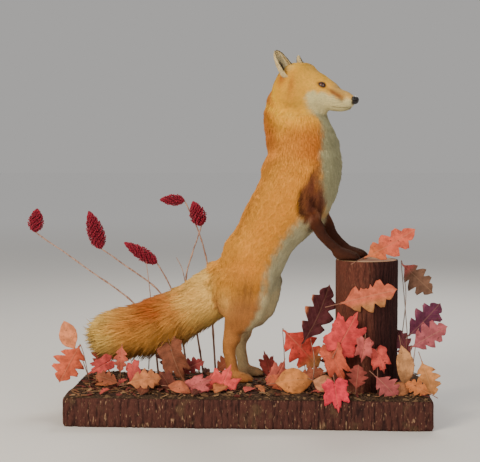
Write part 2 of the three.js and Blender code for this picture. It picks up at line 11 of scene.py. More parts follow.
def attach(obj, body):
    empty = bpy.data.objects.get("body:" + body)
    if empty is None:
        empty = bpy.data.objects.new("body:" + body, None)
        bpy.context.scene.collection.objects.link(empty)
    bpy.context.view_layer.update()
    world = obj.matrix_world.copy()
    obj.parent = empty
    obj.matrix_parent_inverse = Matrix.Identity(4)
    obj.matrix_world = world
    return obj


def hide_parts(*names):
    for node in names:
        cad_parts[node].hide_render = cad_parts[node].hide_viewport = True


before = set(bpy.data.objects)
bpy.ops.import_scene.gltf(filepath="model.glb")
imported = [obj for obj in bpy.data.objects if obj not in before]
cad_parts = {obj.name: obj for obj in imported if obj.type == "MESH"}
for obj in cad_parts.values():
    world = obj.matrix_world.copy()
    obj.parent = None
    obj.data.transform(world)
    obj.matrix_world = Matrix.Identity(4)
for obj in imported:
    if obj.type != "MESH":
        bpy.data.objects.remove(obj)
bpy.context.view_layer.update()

scene = bpy.context.scene
print("frame loaded:", len(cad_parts), "nodes")


# small helpers

def linear(red, green, blue):  # 0-255 screen values to scene colour
    screen = np.array([red, green, blue]) / 255
    return np.where(screen <= 0.04045, screen / 12.92, ((screen + 0.055) / 1.055) ** 2.4)


def either(full):
    return full


def carry(matrix, points):
    m = np.array(matrix)
    return np.asarray(points) @ m[:3, :3].T + m[:3, 3]


def turned(matrix, vectors):
    return np.asarray(vectors) @ np.array(matrix)[:3, :3].T


def unit(vectors):
    return vectors / np.maximum(np.linalg.norm(vectors, axis=-1, keepdims=True), 1e-9)


def ease(low, high, value):  # smooth step, also downhill
    t = np.clip((value - low) / (high - low), 0, 1)
    return t * t * (3 - 2 * t)


def lerp(a, b, t):
    return a + (b - a) * t


def waves(points, size, seed, count=6):  # smooth noise, roughly -1 to 1
    dice = np.random.default_rng(seed)
    total = 0
    for _ in range(count):
        along = unit(dice.normal(size=3)) * 2 * math.pi / size * dice.uniform(0.6, 1.5)
        bend = unit(dice.normal(size=3)) * 2 * math.pi / size * 0.7
        total = total + np.sin(points @ along + dice.uniform(0, 7) + 1.2 * np.sin(points @ bend))
    return total / math.sqrt(count) / 1.2


def buildMesh(name, points, faces):
    mesh = bpy.data.meshes.new(name)
    points = np.asarray(points, np.float32)
    faces = np.asarray(faces, np.int32)
    mesh.vertices.add(len(points))
    mesh.vertices.foreach_set("co", points.ravel())
    mesh.loops.add(faces.size)
    mesh.loops.foreach_set("vertex_index", faces.ravel())
    mesh.polygons.add(len(faces))
    mesh.polygons.foreach_set("loop_start", np.arange(len(faces), dtype=np.int32) * faces.shape[1])
    mesh.update(calc_edges=True)
    mesh.validate()
    mesh.shade_smooth()
    return mesh


def addObject(name, data):
    made = bpy.data.objects.new(name, data)
    scene.collection.objects.link(made)
    return made


def addPiece(name, mesh, material, replaced=()):
    piece = addObject(name, mesh)
    mesh.materials.append(material)
    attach(piece, "root")
    if replaced:
        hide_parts(*replaced)


def meshArrays(mesh):  # points, normals
    points = np.empty(len(mesh.vertices) * 3, np.float32)
    mesh.vertices.foreach_get("co", points)
    normals = np.empty_like(points)
    mesh.vertex_normals.foreach_get("vector", normals)
    return points.reshape(-1, 3).astype(float), normals.reshape(-1, 3).astype(float)


def triangles(mesh):
    mesh.calc_loop_triangles()
    corners = np.empty(len(mesh.loop_triangles) * 3, np.int32)
    mesh.loop_triangles.foreach_get("vertices", corners)
    return corners.reshape(-1, 3)


def paint(mesh, name, colours):  # one colour for each vertex
    layer = mesh.color_attributes.new(name, "FLOAT_COLOR", "POINT")
    full = np.ones((len(colours), 4), np.float32)
    full[:, :3] = colours
    layer.data.foreach_set("color", full.ravel())


def writeUv(mesh, name, perVertex):
    layer = mesh.uv_layers.new(name=name)
    corners = np.empty(len(mesh.loops), np.int32)
    mesh.loops.foreach_get("vertex_index", corners)
    layer.data.foreach_set("uv", perVertex[corners].astype(np.float32).ravel())


def gridFaces(rows, columns, wrap=False):  # quads over rows x columns points
    i, j = np.meshgrid(np.arange(rows - 1), np.arange(columns if wrap else columns - 1), indexing="ij")
    a, b = i * columns + j, i * columns + (j + 1) % columns
    return np.stack([a, b, b + columns, a + columns], -1).reshape(-1, 4)


def gridTriangles(rows, columns, wrap=False):
    quads = gridFaces(rows, columns, wrap)
    return np.concatenate([quads[:, [0, 1, 2]], quads[:, [0, 2, 3]]])


def gridRim(rows, columns):  # the border's points, counted round
    index = np.arange(rows * columns).reshape(rows, columns)
    return np.concatenate([index[0, :-1], index[:-1, -1], index[-1, :0:-1], index[:0:-1, 0]])


def fan(hub, first, count, flip=False):  # triangles from one point to a ring of points
    a = first + np.arange(count)
    b = first + (np.arange(count) + 1) % count
    return np.stack([np.full(count, hub), *((a, b) if flip else (b, a))], 1)


def closedTube(rows, columns):  # faces of a wrapped grid and of the two points that close its ends
    size = rows * columns
    return np.concatenate([gridTriangles(rows, columns, True), fan(size, 0, columns),
                           fan(size + 1, size - columns, columns, flip=True)])


def tubeArrays(route, radii, sides=6):
    # a closed tube of triangles along points, with a radius for each
    route = np.asarray(route, float)
    radii = np.broadcast_to(np.asarray(radii, float), (len(route),))
    along = unit(np.gradient(route, axis=0))
    aid = (0.0, 0.0, 1.0) if abs(along[0][2]) < 0.8 else (1.0, 0.0, 0.0)
    first = unit(np.cross(along, aid))
    second = np.cross(along, first)
    angle = np.arange(sides) / sides * 2 * math.pi
    ring = first[:, None] * np.cos(angle)[None, :, None] + second[:, None] * np.sin(angle)[None, :, None]
    points = (route[:, None] + ring * radii[:, None, None]).reshape(-1, 3)
    return np.concatenate([points, route[:1], route[-1:]]), closedTube(len(route), sides)


def joinArrays(parts):  # [(points, faces)] with one face size
    points, faces, base = [], [], 0
    for p, f in parts:
        points.append(p)
        faces.append(np.asarray(f) + base)
        base += len(p)
    return np.concatenate(points), np.concatenate(faces)


def smoothRoute(points, count):  # Catmull-Rom through a few points
    p = np.asarray(points, float)
    p = np.concatenate([[2 * p[0] - p[1]], p, [2 * p[-1] - p[-2]]])
    spans = len(p) - 3
    out = []
    for t in np.linspace(0, spans, count):
        i = min(int(t), spans - 1)
        u = t - i
        a, b, c, d = p[i:i + 4]
        out.append(0.5 * (2 * b + (c - a) * u + (2 * a - 5 * b + 4 * c - d) * u ** 2
                          + (3 * b - a - 3 * c + d) * u ** 3))
    return np.array(out)


# shader writing

class Wire:  # a socket that takes part in sums
    def __init__(self, tree, socket):
        self.tree = tree
        self.socket = socket

    def manyParts(self):
        return self.socket.type in ("RGBA", "VECTOR")

    def sum(self, operation, other=0.0, swapped=False):
        wide = self.manyParts() or isinstance(other, tuple)
        wide = wide or (isinstance(other, Wire) and other.manyParts())
        node = self.tree.nodes.new("ShaderNodeVectorMath" if wide else "ShaderNodeMath")
        node.operation = operation
        for index, value in enumerate((other, self) if swapped else (self, other)):
            plug(self.tree, node.inputs[index], value)
        return Wire(self.tree, node.outputs[0])

    def __add__(self, other):
        return self.sum("ADD", other)

    __radd__ = __add__

    def __sub__(self, other):
        return self.sum("SUBTRACT", other)

    def __rsub__(self, other):
        return self.sum("SUBTRACT", other, swapped=True)

    def __mul__(self, other):
        return self.sum("MULTIPLY", other)

    __rmul__ = __mul__

    def __abs__(self):
        return self.sum("ABSOLUTE")


def plug(tree, socket, value):
    if isinstance(value, Wire):
        tree.links.new(value.socket, socket)
    elif hasattr(socket.default_value, "__len__"):
        width = len(socket.default_value)
        parts = list(value) if hasattr(value, "__len__") else [value] * 3
        socket.default_value = (parts + [1.0])[:width]
    else:
        socket.default_value = value


class Finish:  # a material under construction
    def __init__(self, name):
        self.material = bpy.data.materials.new(name)
        self.material.use_nodes = True
        self.tree = self.material.node_tree
        self.tree.nodes.clear()

    def node(self, kind, settings=None, sockets=None, output=0):
        made = self.tree.nodes.new("ShaderNode" + kind)
        for key, value in (settings or {}).items():
            setattr(made, key, value)
        for key, value in (sockets or {}).items():
            plug(self.tree, made.inputs[key], value)
        return Wire(self.tree, made.outputs[output])

    def place(self, stretch=(1, 1, 1)):  # object coordinates, stretched
        coords = self.node("TexCoord", output="Object")
        return self.node("Mapping", {}, {"Vector": coords, "Scale": stretch})

    def noise(self, size, detail=3.0, rough=0.55, stretch=(1, 1, 1)):  # 0 to 1, size in metres
        return self.node("TexNoise", {}, {"Vector": self.place(stretch), "Scale": 1 / size,
                                          "Detail": detail, "Roughness": rough})

    def cells(self, size, feature="F1", output="Distance"):
        sockets = {"Vector": self.place(), "Scale": 1 / size}
        return self.node("TexVoronoi", {"feature": feature}, sockets, output)

    def band(self, value, low, high):  # clamped 0 to 1 between two values
        return self.node("MapRange", {"interpolation_type": "SMOOTHSTEP"},
                         {"Value": value, "From Min": low, "From Max": high})

    def colourMix(self, factor, a, b):
        return self.node("Mix", {"data_type": "RGBA"}, {0: factor, 6: a, 7: b}, output=2)

    def blend(self, value, low, high, a, b):  # from a to b as the value rises from low to high
        return self.colourMix(self.band(value, low, high), a, b)

    def length(self, vector):
        return self.node("VectorMath", {"operation": "LENGTH"}, {0: vector}, 1)

    def bump(self, height, distance, strength):
        return self.node("Bump", {}, {"Height": height, "Distance": distance, "Strength": strength})

    def attribute(self, name, output="Color"):
        return self.node("Attribute", {"attribute_name": name}, output=output)

    def split(self, vector):  # its three parts
        first = self.node("SeparateXYZ", {}, {0: vector})
        return [Wire(self.tree, socket) for socket in first.socket.node.outputs]

    def surface(self, **sockets):  # names in camelCase, such as baseColor
        names = {"baseColor": "Base Color", "roughness": "Roughness", "specular": "Specular IOR Level",
                 "normal": "Normal", "coat": "Coat Weight", "coatRough": "Coat Roughness",
                 "sheen": "Sheen Weight", "sheenRough": "Sheen Roughness", "sheenTint": "Sheen Tint"}
        bsdf = self.tree.nodes.new("ShaderNodeBsdfPrincipled")
        for key, value in sockets.items():
            plug(self.tree, bsdf.inputs[names[key]], value)
        out = self.tree.nodes.new("ShaderNodeOutputMaterial")
        self.tree.links.new(bsdf.outputs[0], out.inputs[0])
        return self.material


# camera, light and floor

studio = {
    "eyeAt": (0.114, -2.400, 0.545),
    "lookAt": (-0.020, 0.0, 0.398),
    "lens": 83.85,
    "floorTone": (0.80, 0.79, 0.77),
    "floorPatch": 0.8,
    "floorHalf": 60,
    "floorFar": (0.97, 0.97, 0.97),
    "fade": (2.5, 9.0),  # metres from the middle, where the floor's tone changes
    "worldTone": (0.90, 0.88, 0.86),
    "worldLight": 0.48,
    # place, aim, size, watts, tint
    "lamps": [
        ((-1.7, -2.1, 1.8), (0.0, 0.0, 0.35), 1.3, 78, (1.0, 0.88, 0.70)),
        ((1.9, -2.2, 1.3), (0.1, 0.0, 0.3), 1.8, 20, (1.0, 0.95, 0.90)),
        ((0.6, 1.8, 2.2), (0.0, 0.0, 0.4), 1.2, 30, (1.0, 0.95, 0.88)),
    ],
}


def addAimed(name, data, place, aim):
    made = addObject(name, data)
    turn = (Vector(aim) - Vector(place)).to_track_quat("-Z", "Y").to_matrix().to_4x4()
    made.matrix_world = Matrix.Translation(place) @ turn
    return made


def setStudio():
    camera = addAimed("camera", bpy.data.cameras.new("camera"), studio["eyeAt"], studio["lookAt"])
    camera.data.sensor_fit = "HORIZONTAL"
    camera.data.sensor_width = 36
    camera.data.lens = studio["lens"]
    camera.data.clip_end = studio["floorHalf"]
    scene.camera = camera
    for index, (place, aim, size, watts, tint) in enumerate(studio["lamps"]):
        light = bpy.data.lights.new(f"lamp{index}", "AREA")
        light.shape = "DISK"
        light.size = size
        light.energy = watts
        light.color = tint
        addAimed(light.name, light, place, aim)
    world = bpy.data.worlds.new("studio")
    world.use_nodes = True
    sky = world.node_tree.nodes["Background"]
    sky.inputs[0].default_value = (*studio["worldTone"], 1)
    sky.inputs[1].default_value = studio["worldLight"]
    scene.world = world
    side = studio["floorHalf"]
    floor = buildMesh("floor", [(-side, -side, 0), (side, -side, 0), (side, side, 0), (-side, side, 0)],
                      [(0, 1, 2, 3)])
    finish = Finish("pale floor")
    near = studio["floorTone"]
    tone = finish.colourMix(finish.noise(studio["floorPatch"]), near, tuple(0.97 * c for c in near))
    tone = finish.blend(finish.length(finish.place()), *studio["fade"], tone, studio["floorFar"])
    floor.materials.append(finish.surface(baseColor=tone, roughness=0.9, specular=0.0))
    addObject("floor", floor)


setStudio()
print("studio set")


# where the fox stands, and the lines that its body follows

foxFrame = Matrix.Translation((-0.020, 0.055, 0.068)) @ Matrix.Rotation(math.radians(-14), 4, "Z")
headFrame = (foxFrame @ Matrix.Translation((0.112, 0, 0.640)) @ Matrix.Rotation(math.radians(-11), 4, "Z")
             @ Matrix.Rotation(math.radians(15), 4, "Y"))
foxBack = foxFrame.inverted()
headBack = headFrame.inverted()


pawAhead = {("fore", -1): -0.002, ("fore", 1): 0.003, ("hind", -1): -0.003, ("hind", 1): -0.002}
legOut = 0.038  # metres from the middle to each leg
legLines = {  # x and z in the fox's own frame
    "fore": [(0.130, 0.450), (0.157, 0.408), (0.169, 0.366), (0.192, 0.324), (0.226, 0.292), (0.270, 0.280)],
    "hind": [(0.008, 0.235), (0.017, 0.160), (0.000, 0.110), (-0.013, 0.078), (-0.008, 0.040), (0.0, 0.014),
             (0.042, 0.006)],
}
guides = {  # each runs with the lie of the coat
    "torso": carry(foxFrame, [(0.130, 0, 0.665), (0.128, 0, 0.620), (0.136, 0, 0.535), (0.140, 0, 0.475),
                              (0.117, 0, 0.412), (0.072, 0, 0.342), (0.030, 0, 0.268), (-0.010, 0, 0.190)]),
    "tail": carry(foxFrame, [(-0.020, 0, 0.213), (-0.070, 0, 0.190), (-0.108, -0.005, 0.167),
                             (-0.154, -0.014, 0.140), (-0.204, -0.027, 0.116), (-0.253, -0.040, 0.104),
                             (-0.294, -0.053, 0.095), (-0.343, -0.069, 0.086)]),
    "head": carry(headFrame, [(0.165, 0, 0.004), (0.120, 0, -0.002), (0.080, 0, -0.002),
                              (0.035, 0, -0.006), (-0.030, 0, -0.004)]),
}
for (limb, side), ahead in pawAhead.items():
    legPoints = [(x + ahead, side * legOut, z) for x, z in legLines[limb]]
    guides[limb + ("Right" if side < 0 else "Left")] = carry(foxFrame, legPoints)
guideNames = {"head": "head", "neck": "torso", "chest": "torso", "trunk": "torso", "tail": "tail",
              "foreleg": "fore", "forepaw": "fore", "thigh": "hind", "shank": "hind", "hindpaw": "hind"}


def guideOf(node):
    part, _, side = node.partition("_")
    return guideNames[part] + (side.title() if side != "tip" else "")


def followGuide(points, guide):
    # nearest place on a line: how far along (0 to 1), the spot itself, and the line's direction
    best = np.full(len(points), 1e9)
    along = np.zeros(len(points))
    spot = np.zeros((len(points), 3))
    heading = np.zeros((len(points), 3))
    lengths = np.linalg.norm(np.diff(guide, axis=0), axis=1)
    starts = np.concatenate([[0], np.cumsum(lengths)]) / lengths.sum()
    directions = unit(np.diff(guide, axis=0))
    for k in range(len(guide) - 1):
        step = guide[k + 1] - guide[k]
        t = np.clip((points - guide[k]) @ step / (step @ step), 0, 1)
        near = guide[k] + t[:, None] * step
        gap = np.linalg.norm(points - near, axis=1)
        hit = gap < best
        before = directions[max(k - 1, 0)]
        after = directions[min(k + 1, len(directions) - 1)]
        here = directions[k]
        twice = 2 * t[:, None]
        turn = np.where(twice < 1, lerp(before + here, 2 * here, twice),
                        lerp(2 * here, here + after, twice - 1))
        best[hit] = gap[hit]
        along[hit] = lerp(starts[k], starts[k + 1], t[hit])
        spot[hit] = near[hit]
        heading[hit] = turn[hit]
    return along, spot, unit(heading)


# flesh: one skin inside the solids

fleshNodes = ["head", "neck", "chest", "trunk", "tail", "tail_tip"]
fleshNodes += [f"{part}_{side}" for part in ("foreleg", "forepaw", "thigh", "shank", "hindpaw")
               for side in ("right", "left")]
fleshParts = np.array([node.split("_")[0] for node in fleshNodes])
skinPlan = {
    "voxel": either(0.0026),
    "closeCuts": 0.0006,
    "depths": {"head": 0.0030, "neck": 0.0072, "chest": 0.0058, "trunk": 0.0052, "tail": 0.014,
               "foreleg": 0.0020, "forepaw": 0.0013, "thigh": 0.0026, "shank": 0.0020, "hindpaw": 0.0013},
    "tailRootDepth": 0.0060,
    "hockDepth": 0.0022,
    "tailTipBack": 0.026,
    "fill": {"at": (-0.050, 0, 0.249), "radii": (0.017, 0.036, 0.0175)},  # the notch between rump and tail
    "muzzleDepth": 0.0010,
    "cheekDepth": 0.0052,
    "broadParts": ("head", "neck", "chest", "trunk", "tail", "thigh_right", "thigh_left"),
    "jointRounds": either(50),
    "evenRounds": 10,
    "depthRounds": 30,
    "shrinkSteps": 5,
    "eyeSpot": (0.0795, 0.029, 0.0225),
    "eyeDepth": 0.0016,
}


def workArrays(work, grow):  # points moved out along their normals, and faces
    points = np.array([v.co + v.normal * grow for v in work.verts])
    faces = np.array([[v.index for v in f.verts] for f in work.faces])
    work.free()
    return points, faces


def joinedFlesh():
    parts, owners = [], []
    for name in fleshNodes + ["eye_right", "eye_left", "nose"]:
        work = bmesh.new()
        work.from_mesh(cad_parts[name].data)
        bmesh.ops.remove_doubles(work, verts=work.verts, dist=1e-5)
        bmesh.ops.triangulate(work, faces=work.faces)
        work.normal_update()
        work.verts.index_update()
        parts.append(workArrays(work, skinPlan["closeCuts"]))
        owners.extend([fleshNodes.index(name if name in fleshNodes else "head")] * len(parts[-1][1]))
    work = bmesh.new()
    bmesh.ops.create_icosphere(work, subdivisions=3, radius=1.0)
    ball, faces = workArrays(work, 0)
    parts.append((carry(foxFrame, ball * skinPlan["fill"]["radii"] + skinPlan["fill"]["at"]), faces))
    owners.extend([fleshNodes.index("tail")] * len(faces))
    return *joinArrays(parts), np.array(owners)


def soften(values, edges, rounds, strength=0.5):  # each value moves to its neighbours' mean
    values = np.array(values, float)
    flat = values.ndim == 1
    values = values.reshape(len(values), -1)
    a, b = edges.T
    count = np.maximum(np.bincount(edges.ravel(), minlength=len(values)), 1)[:, None]
    for _ in range(rounds):
        total = np.stack([np.bincount(a, v[b], len(v)) + np.bincount(b, v[a], len(v)) for v in values.T], 1)
        values = values + strength * (total / count - values)
    return values[:, 0] if flat else values


def meshEdges(mesh):
    edges = np.empty(len(mesh.edges) * 2, np.int32)
    mesh.edges.foreach_get("vertices", edges)
    return edges.reshape(-1, 2)


def setPoints(mesh, points):
    mesh.vertices.foreach_set("co", points.astype(np.float32).ravel())
    mesh.update()


def ownersAt(points):  # index of the nearest solid's node
    return np.array([fleshOwners[fleshTree.find_nearest(p)[2]] for p in points.tolist()])


fleshPoints, fleshFaces, fleshOwners = joinedFlesh()
fleshTree = BVHTree.FromPolygons(fleshPoints.tolist(), fleshFaces.tolist())


def pairAway(atHead, spot):  # distance to the nearer of a spot and its mirror image
    return np.min([np.linalg.norm(atHead - np.array(spot) * (1, side, 1), axis=1) for side in (-1, 1)], 0)


def coatDepth(points):
    # how far the skin lies under the coat's tips
    owner = ownersAt(points)
    node = np.array(fleshNodes)[owner]
    depth = np.array([skinPlan["depths"][part] for part in fleshParts])[owner]
    atHead = carry(headBack, points)
    x, _, z = atHead.T
    headDepth = lerp(skinPlan["muzzleDepth"], skinPlan["depths"]["head"], ease(0.112, 0.045, x))
    headDepth = lerp(headDepth, skinPlan["cheekDepth"], ease(0.012, -0.030, z) * ease(0.085, 0.040, x))
    eyes = pairAway(atHead, skinPlan["eyeSpot"])
    headDepth = lerp(skinPlan["eyeDepth"], headDepth, ease(0.010, 0.030, eyes))
    root = (node == "tail") * ease(0.38, 0.10, followGuide(points, guides["tail"])[0])
    depth = lerp(depth, skinPlan["tailRootDepth"], root)
    hock = (fleshParts[owner] == "thigh") * ease(0.165, 0.115, carry(foxBack, points)[:, 2])
    depth = lerp(depth, skinPlan["hockDepth"], hock)
    return np.where(node == "head", headDepth, depth)


def makeSkin():
    hull = addObject("hull", buildMesh("hull", fleshPoints, fleshFaces))
    remesh = hull.modifiers.new("remesh", "REMESH")
    remesh.mode = "VOXEL"
    remesh.voxel_size = skinPlan["voxel"]
    evaluated = hull.evaluated_get(bpy.context.evaluated_depsgraph_get())
    mesh = bpy.data.meshes.new_from_object(evaluated)
    bpy.data.objects.remove(hull)
    edges = meshEdges(mesh)
    points = soften(meshArrays(mesh)[0], edges, skinPlan["evenRounds"])
    points = blendJoints(points, edges, ("trunk", "tail"))
    setPoints(mesh, points)
    depth = soften(coatDepth(points), edges, skinPlan["depthRounds"])
    steps = skinPlan["shrinkSteps"]
    for _ in range(steps):
        points, normals = meshArrays(mesh)
        normals = unit(soften(normals, edges, 2))
        points = points - normals * depth[:, None] / steps
        setPoints(mesh, soften(points, edges, 2))
    points = blendJoints(meshArrays(mesh)[0], edges, skinPlan["broadParts"])
    along, _, heading = followGuide(points, guides["tail"])
    back = ease(0.70, 1.0, along) * (carry(foxBack, points)[:, 0] < -0.15)
    setPoints(mesh, points - heading * (skinPlan["tailTipBack"] * back)[:, None])
    return mesh


def blendJoints(points, edges, nodes):
    # the body's parts run into one another: extra smoothing along the lines where they meet
    owner = ownersAt(points)
    broad = np.isin(fleshNodes, nodes)[owner]
    top = (fleshParts == "foreleg")[owner]
    a, b = edges.T
    meets = owner[a] != owner[b]
    share = np.zeros(len(points))
    for hit, amount in ((broad[a] & top[b] | top[a] & broad[b], 0.5), (broad[a] & broad[b], 1.0)):
        share[a[meets & hit]] = amount
        share[b[meets & hit]] = amount
    share = np.clip(soften(share, edges, 16) * 3.4, 0, 1)[:, None]
    for _ in range(skinPlan["jointRounds"]):
        points = lerp(points, soften(points, edges, 1, 0.8), share)
    return points


skinMesh = makeSkin()
print("skin:", len(skinMesh.vertices), "points")


# head: sockets, lids, brow and mouth worked into the skin

face = {  # metres in the head's own frame: x to the nose, z up, y to the left
    "eye": (0.0789, 0.0204, 0.0199),
    "eyeRadius": 0.0080,
    "gaze": (0.48, 0.80, 0.36),
    "slitLong": 0.0070,
    "slitTall": 0.0036,
    "slitTilt": math.radians(12),
    "lidThick": 0.0011,
    "lidReach": 0.0120,
    "lidHold": 0.0085,
    "rimHalf": 0.00062,
    "eyeSink": 0.0022,
    "mouthFrom": (0.149, -0.0085),
    "mouthTo": (0.110, -0.0165),
    "mouthSag": 0.0022,
    "mouthDepth": 0.0016,
    "mouthHalf": 0.0011,
    "grooveDepth": 0.0010,  # the line down the middle of the upper lip
    "grooveHalf": 0.0010,
    "slitPower": 1.7,
}
faceRises = [  # x, reach along and across, heights between which it grows, rise: forehead, bridge of the nose
    (0.072, 0.014, 0.024, (0.028, 0.042), 0.0038),
    (0.116, 0.013, 0.018, (0.014, 0.024), -0.0028),
]
faceMounds = [  # middle, stretch, reach and push: brow, hollow before the eye, whisker pad
    ((0.0809, 0.0224, 0.0324), (1.5, 1, 0.75), 0.0065, 0.0014),
    ((0.101, 0.020, 0.014), (1.5, 1, 1), 0.0070, -0.0016),
    ((0.136, 0.0125, -0.001), (1.5, 1, 1), 0.0080, 0.0014),
]


def eyeCentre(side):
    return np.array(face["eye"]) * (1, side, 1)


def eyeAxes(side):
    # the eye's own frame: gaze, along the slit, across the slit
    gaze = unit(np.array(face["gaze"]) * (1, side, 1))
    level = unit(np.cross((0, 0, side), gaze))
    level = level if level[0] > 0 else -level
    across = unit(np.cross(gaze, level))
    across = across if across[2] > 0 else -across
    c, s = math.cos(face["slitTilt"]), math.sin(face["slitTilt"])
    return gaze, c * level - s * across, c * across + s * level


def slitEdge(u):  # half height of the opening at u, -1 to 1 along the slit
    return face["slitTall"] * np.sqrt(np.clip(1 - np.abs(u) ** face["slitPower"], 0, 1))


def refineFace(mesh):
    work = bmesh.new()
    work.from_mesh(mesh)
    work.verts.ensure_lookup_table()
    x, y, z = carry(headBack, [v.co for v in work.verts]).T
    wanted = (x > 0.055) & (np.abs(y) < 0.05) & (z > -0.05) & (z < 0.06)
    edges = [e for e in work.edges if wanted[e.verts[0].index] and wanted[e.verts[1].index]]
    bmesh.ops.subdivide_edges(work, edges=edges, cuts=1, use_grid_fill=True)
    work.to_mesh(mesh)
    work.free()
    mesh.update()


def mouthLine(x):  # height of the mouth's line at x, in the head's frame
    (x0, z0), (x1, z1) = face["mouthFrom"], face["mouthTo"]
    t = np.clip((x - x0) / (x1 - x0), 0, 1)
    return lerp(z0, z1, t) - face["mouthSag"] * np.sin(math.pi * t)


def sculptHead(mesh):
    points, normals = meshArrays(mesh)
    p = carry(headBack, points)
    n = turned(headBack, normals)
    x, y, z = p.T
    rise = sum(amount * np.exp(-((x - middle) / long) ** 2 - (y / wide) ** 2) * ease(*heights, z)
               for middle, long, wide, heights, amount in faceRises)
    p = p + np.stack([0 * x, 0 * x, rise], 1)
    for side in (-1, 1):
        for middle, stretch, reach, push in faceMounds:
            away = np.linalg.norm((p - np.array(middle) * (1, side, 1)) / stretch, axis=1)
            p = p + n * (push * np.exp(-(away / reach) ** 2))[:, None]
    x, y, z = p.T
    crease = np.exp(-((z - mouthLine(x)) / face["mouthHalf"]) ** 2)
    crease *= ease(0.106, 0.112, x) * ease(0.152, 0.147, x) * (np.abs(y) > 0.003)
    p = p - n * (face["mouthDepth"] * crease)[:, None]
    x, y, z = p.T
    groove = np.exp(-(y / face["grooveHalf"]) ** 2) * ease(0.140, 0.148, x) * (z < 0.004)
    p = p - n * (face["grooveDepth"] * groove)[:, None]
    for side in (-1, 1):
        centre = eyeCentre(side)
        rel = p - centre
        forward, u, v = (rel @ axis for axis in eyeAxes(side))
        far = np.linalg.norm(rel, axis=1)[:, None]
        aimed = unit(rel)
        edge = slitEdge(np.clip(u / face["slitLong"], -1, 1))
        inside = (np.abs(u) < face["slitLong"]) & (np.abs(v) < edge) & (forward > 0)
        hold = ease(face["lidReach"], face["lidHold"], np.sqrt(u ** 2 + v ** 2)) * (forward > -0.004)
        lid = lerp(p, centre + aimed * (face["eyeRadius"] + face["lidThick"]), hold[:, None])
        sunk = centre + aimed * (face["eyeRadius"] - face["eyeSink"])
        p = np.where(inside[:, None] & (far < 0.03), sunk, np.where(far < 0.02, lid, p))
    setPoints(mesh, carry(headFrame, p))


refineFace(skinMesh)
sculptHead(skinMesh)


# paws: toes

pawPlan = {
    "fore": (0.272, 0.030, 0.271),  # the toes' tips, from the middle, and the height under them
    "hind": (0.041, 0.038, -0.002),
    "grooves": (-0.0092, 0.0, 0.0092),
    "grooveHalf": 0.0016,
    "grooveDepth": 0.0026,
}


def sculptPaws(mesh):
    points, normals = meshArrays(mesh)
    for (limb, side), ahead in pawAhead.items():
        tip, out, level = pawPlan[limb]
        dx, dy, dz = (carry(foxBack, points) - (tip + ahead, side * out, level)).T
        toes = ease(-0.036, -0.018, dx) * (dx < 0.02) * (np.abs(dy) < 0.028) * (dz < 0.03) * (dz > -0.004)
        lines = sum(np.exp(-((dy - groove) / pawPlan["grooveHalf"]) ** 2) for groove in pawPlan["grooves"])
        points = points - normals * (pawPlan["grooveDepth"] * toes * lines)[:, None]
    setPoints(mesh, points)


sculptPaws(skinMesh)
print("face and paws shaped")


# markings, the same for skin and coat

tints = {name: linear(*screen) for name, screen in {
    # bib: dimmed below the cheek's white, painted shade of the chest front
    "gold": (242, 166, 66), "neckGold": (255, 190, 56), "rust": (190, 100, 44), "bib": (182, 178, 138),
    "belly": (210, 202, 160), "stocking": (72, 40, 30), "foreRust": (128, 68, 38), "cream": (232, 216, 166),
    "tailTop": (188, 100, 40), "tailLow": (224, 160, 80), "tailRoot": (252, 204, 114),
    "tailTip": (244, 206, 116), "muzzleTop": (222, 178, 100), "cheek": (230, 216, 160), "tear": (150, 86, 44),
    "crown": (252, 190, 74), "lip": (44, 28, 22), "under": (176, 132, 88), "thigh": (216, 146, 80),
    # crease: the tint of the painted shade lines round the foreleg's top
    "elbow": (130, 72, 54), "hipDark": (108, 72, 50), "crease": (58, 26, 14),
}.items()}


def over(base, colour, amount):
    return base + (colour - base) * np.clip(amount, 0, 1)[:, None]


def layered(colour, *layers):  # tints laid over a colour in turn: name, share
    for name, share in layers:
        colour = over(colour, tints[name], share)
    return colour


def bell(value, middle, reach):
    return np.exp(-((value - middle) / reach) ** 2)


def mottle(points):  # coarse and fine unevenness
    return waves(points, 0.055, 3), waves(points, 0.017, 4)


markLines = {  # metres: the fox's own frame for the body, the head's own for the face
    "bibFront": ([0.380, 0.510, 0.541, 0.578, 0.613, 0.650], [0.192, 0.190, 0.186, 0.176, 0.168, 0.160]),
    "elbowBack": ([0.345, 0.365, 0.392, 0.424, 0.440, 0.466, 0.490],
                  [0.166, 0.155, 0.149, 0.149, 0.157, 0.171, 0.182]),
    "elbowFront": ([0.350, 0.385, 0.430, 0.470], [0.206, 0.199, 0.197, 0.191]),
    "elbowRear": ([0.371, 0.397, 0.428], [0.160, 0.155, 0.156]),
    "elbowMiddle": ([0.350, 0.384, 0.410, 0.424], [0.198, 0.186, 0.176, 0.168]),
    "creamThigh": ([0.104, 0.111, 0.120, 0.129, 0.142, 0.156, 0.174, 0.201],
                   [0.015, 0.0206, 0.030, 0.035, 0.043, 0.050, 0.0577, 0.0615]),
    "cheekTop": ([0.046, 0.0575, 0.069, 0.094, 0.1205, 0.142, 0.152],
                 [-0.050, -0.0165, 0.0030, 0.0085, 0.0040, 0.006, 0.010]),
    "cheekRear": ([-0.0544, -0.0165, 0.0], [0.0890, 0.0710, 0.0610]),
}
# painted shade: two dark lines along the foreleg's outline, where it meets the body
elbowShadeLines = (("elbowRear", 0.368, 0.432), ("elbowMiddle", 0.350, 0.424))  # line, lower and upper end
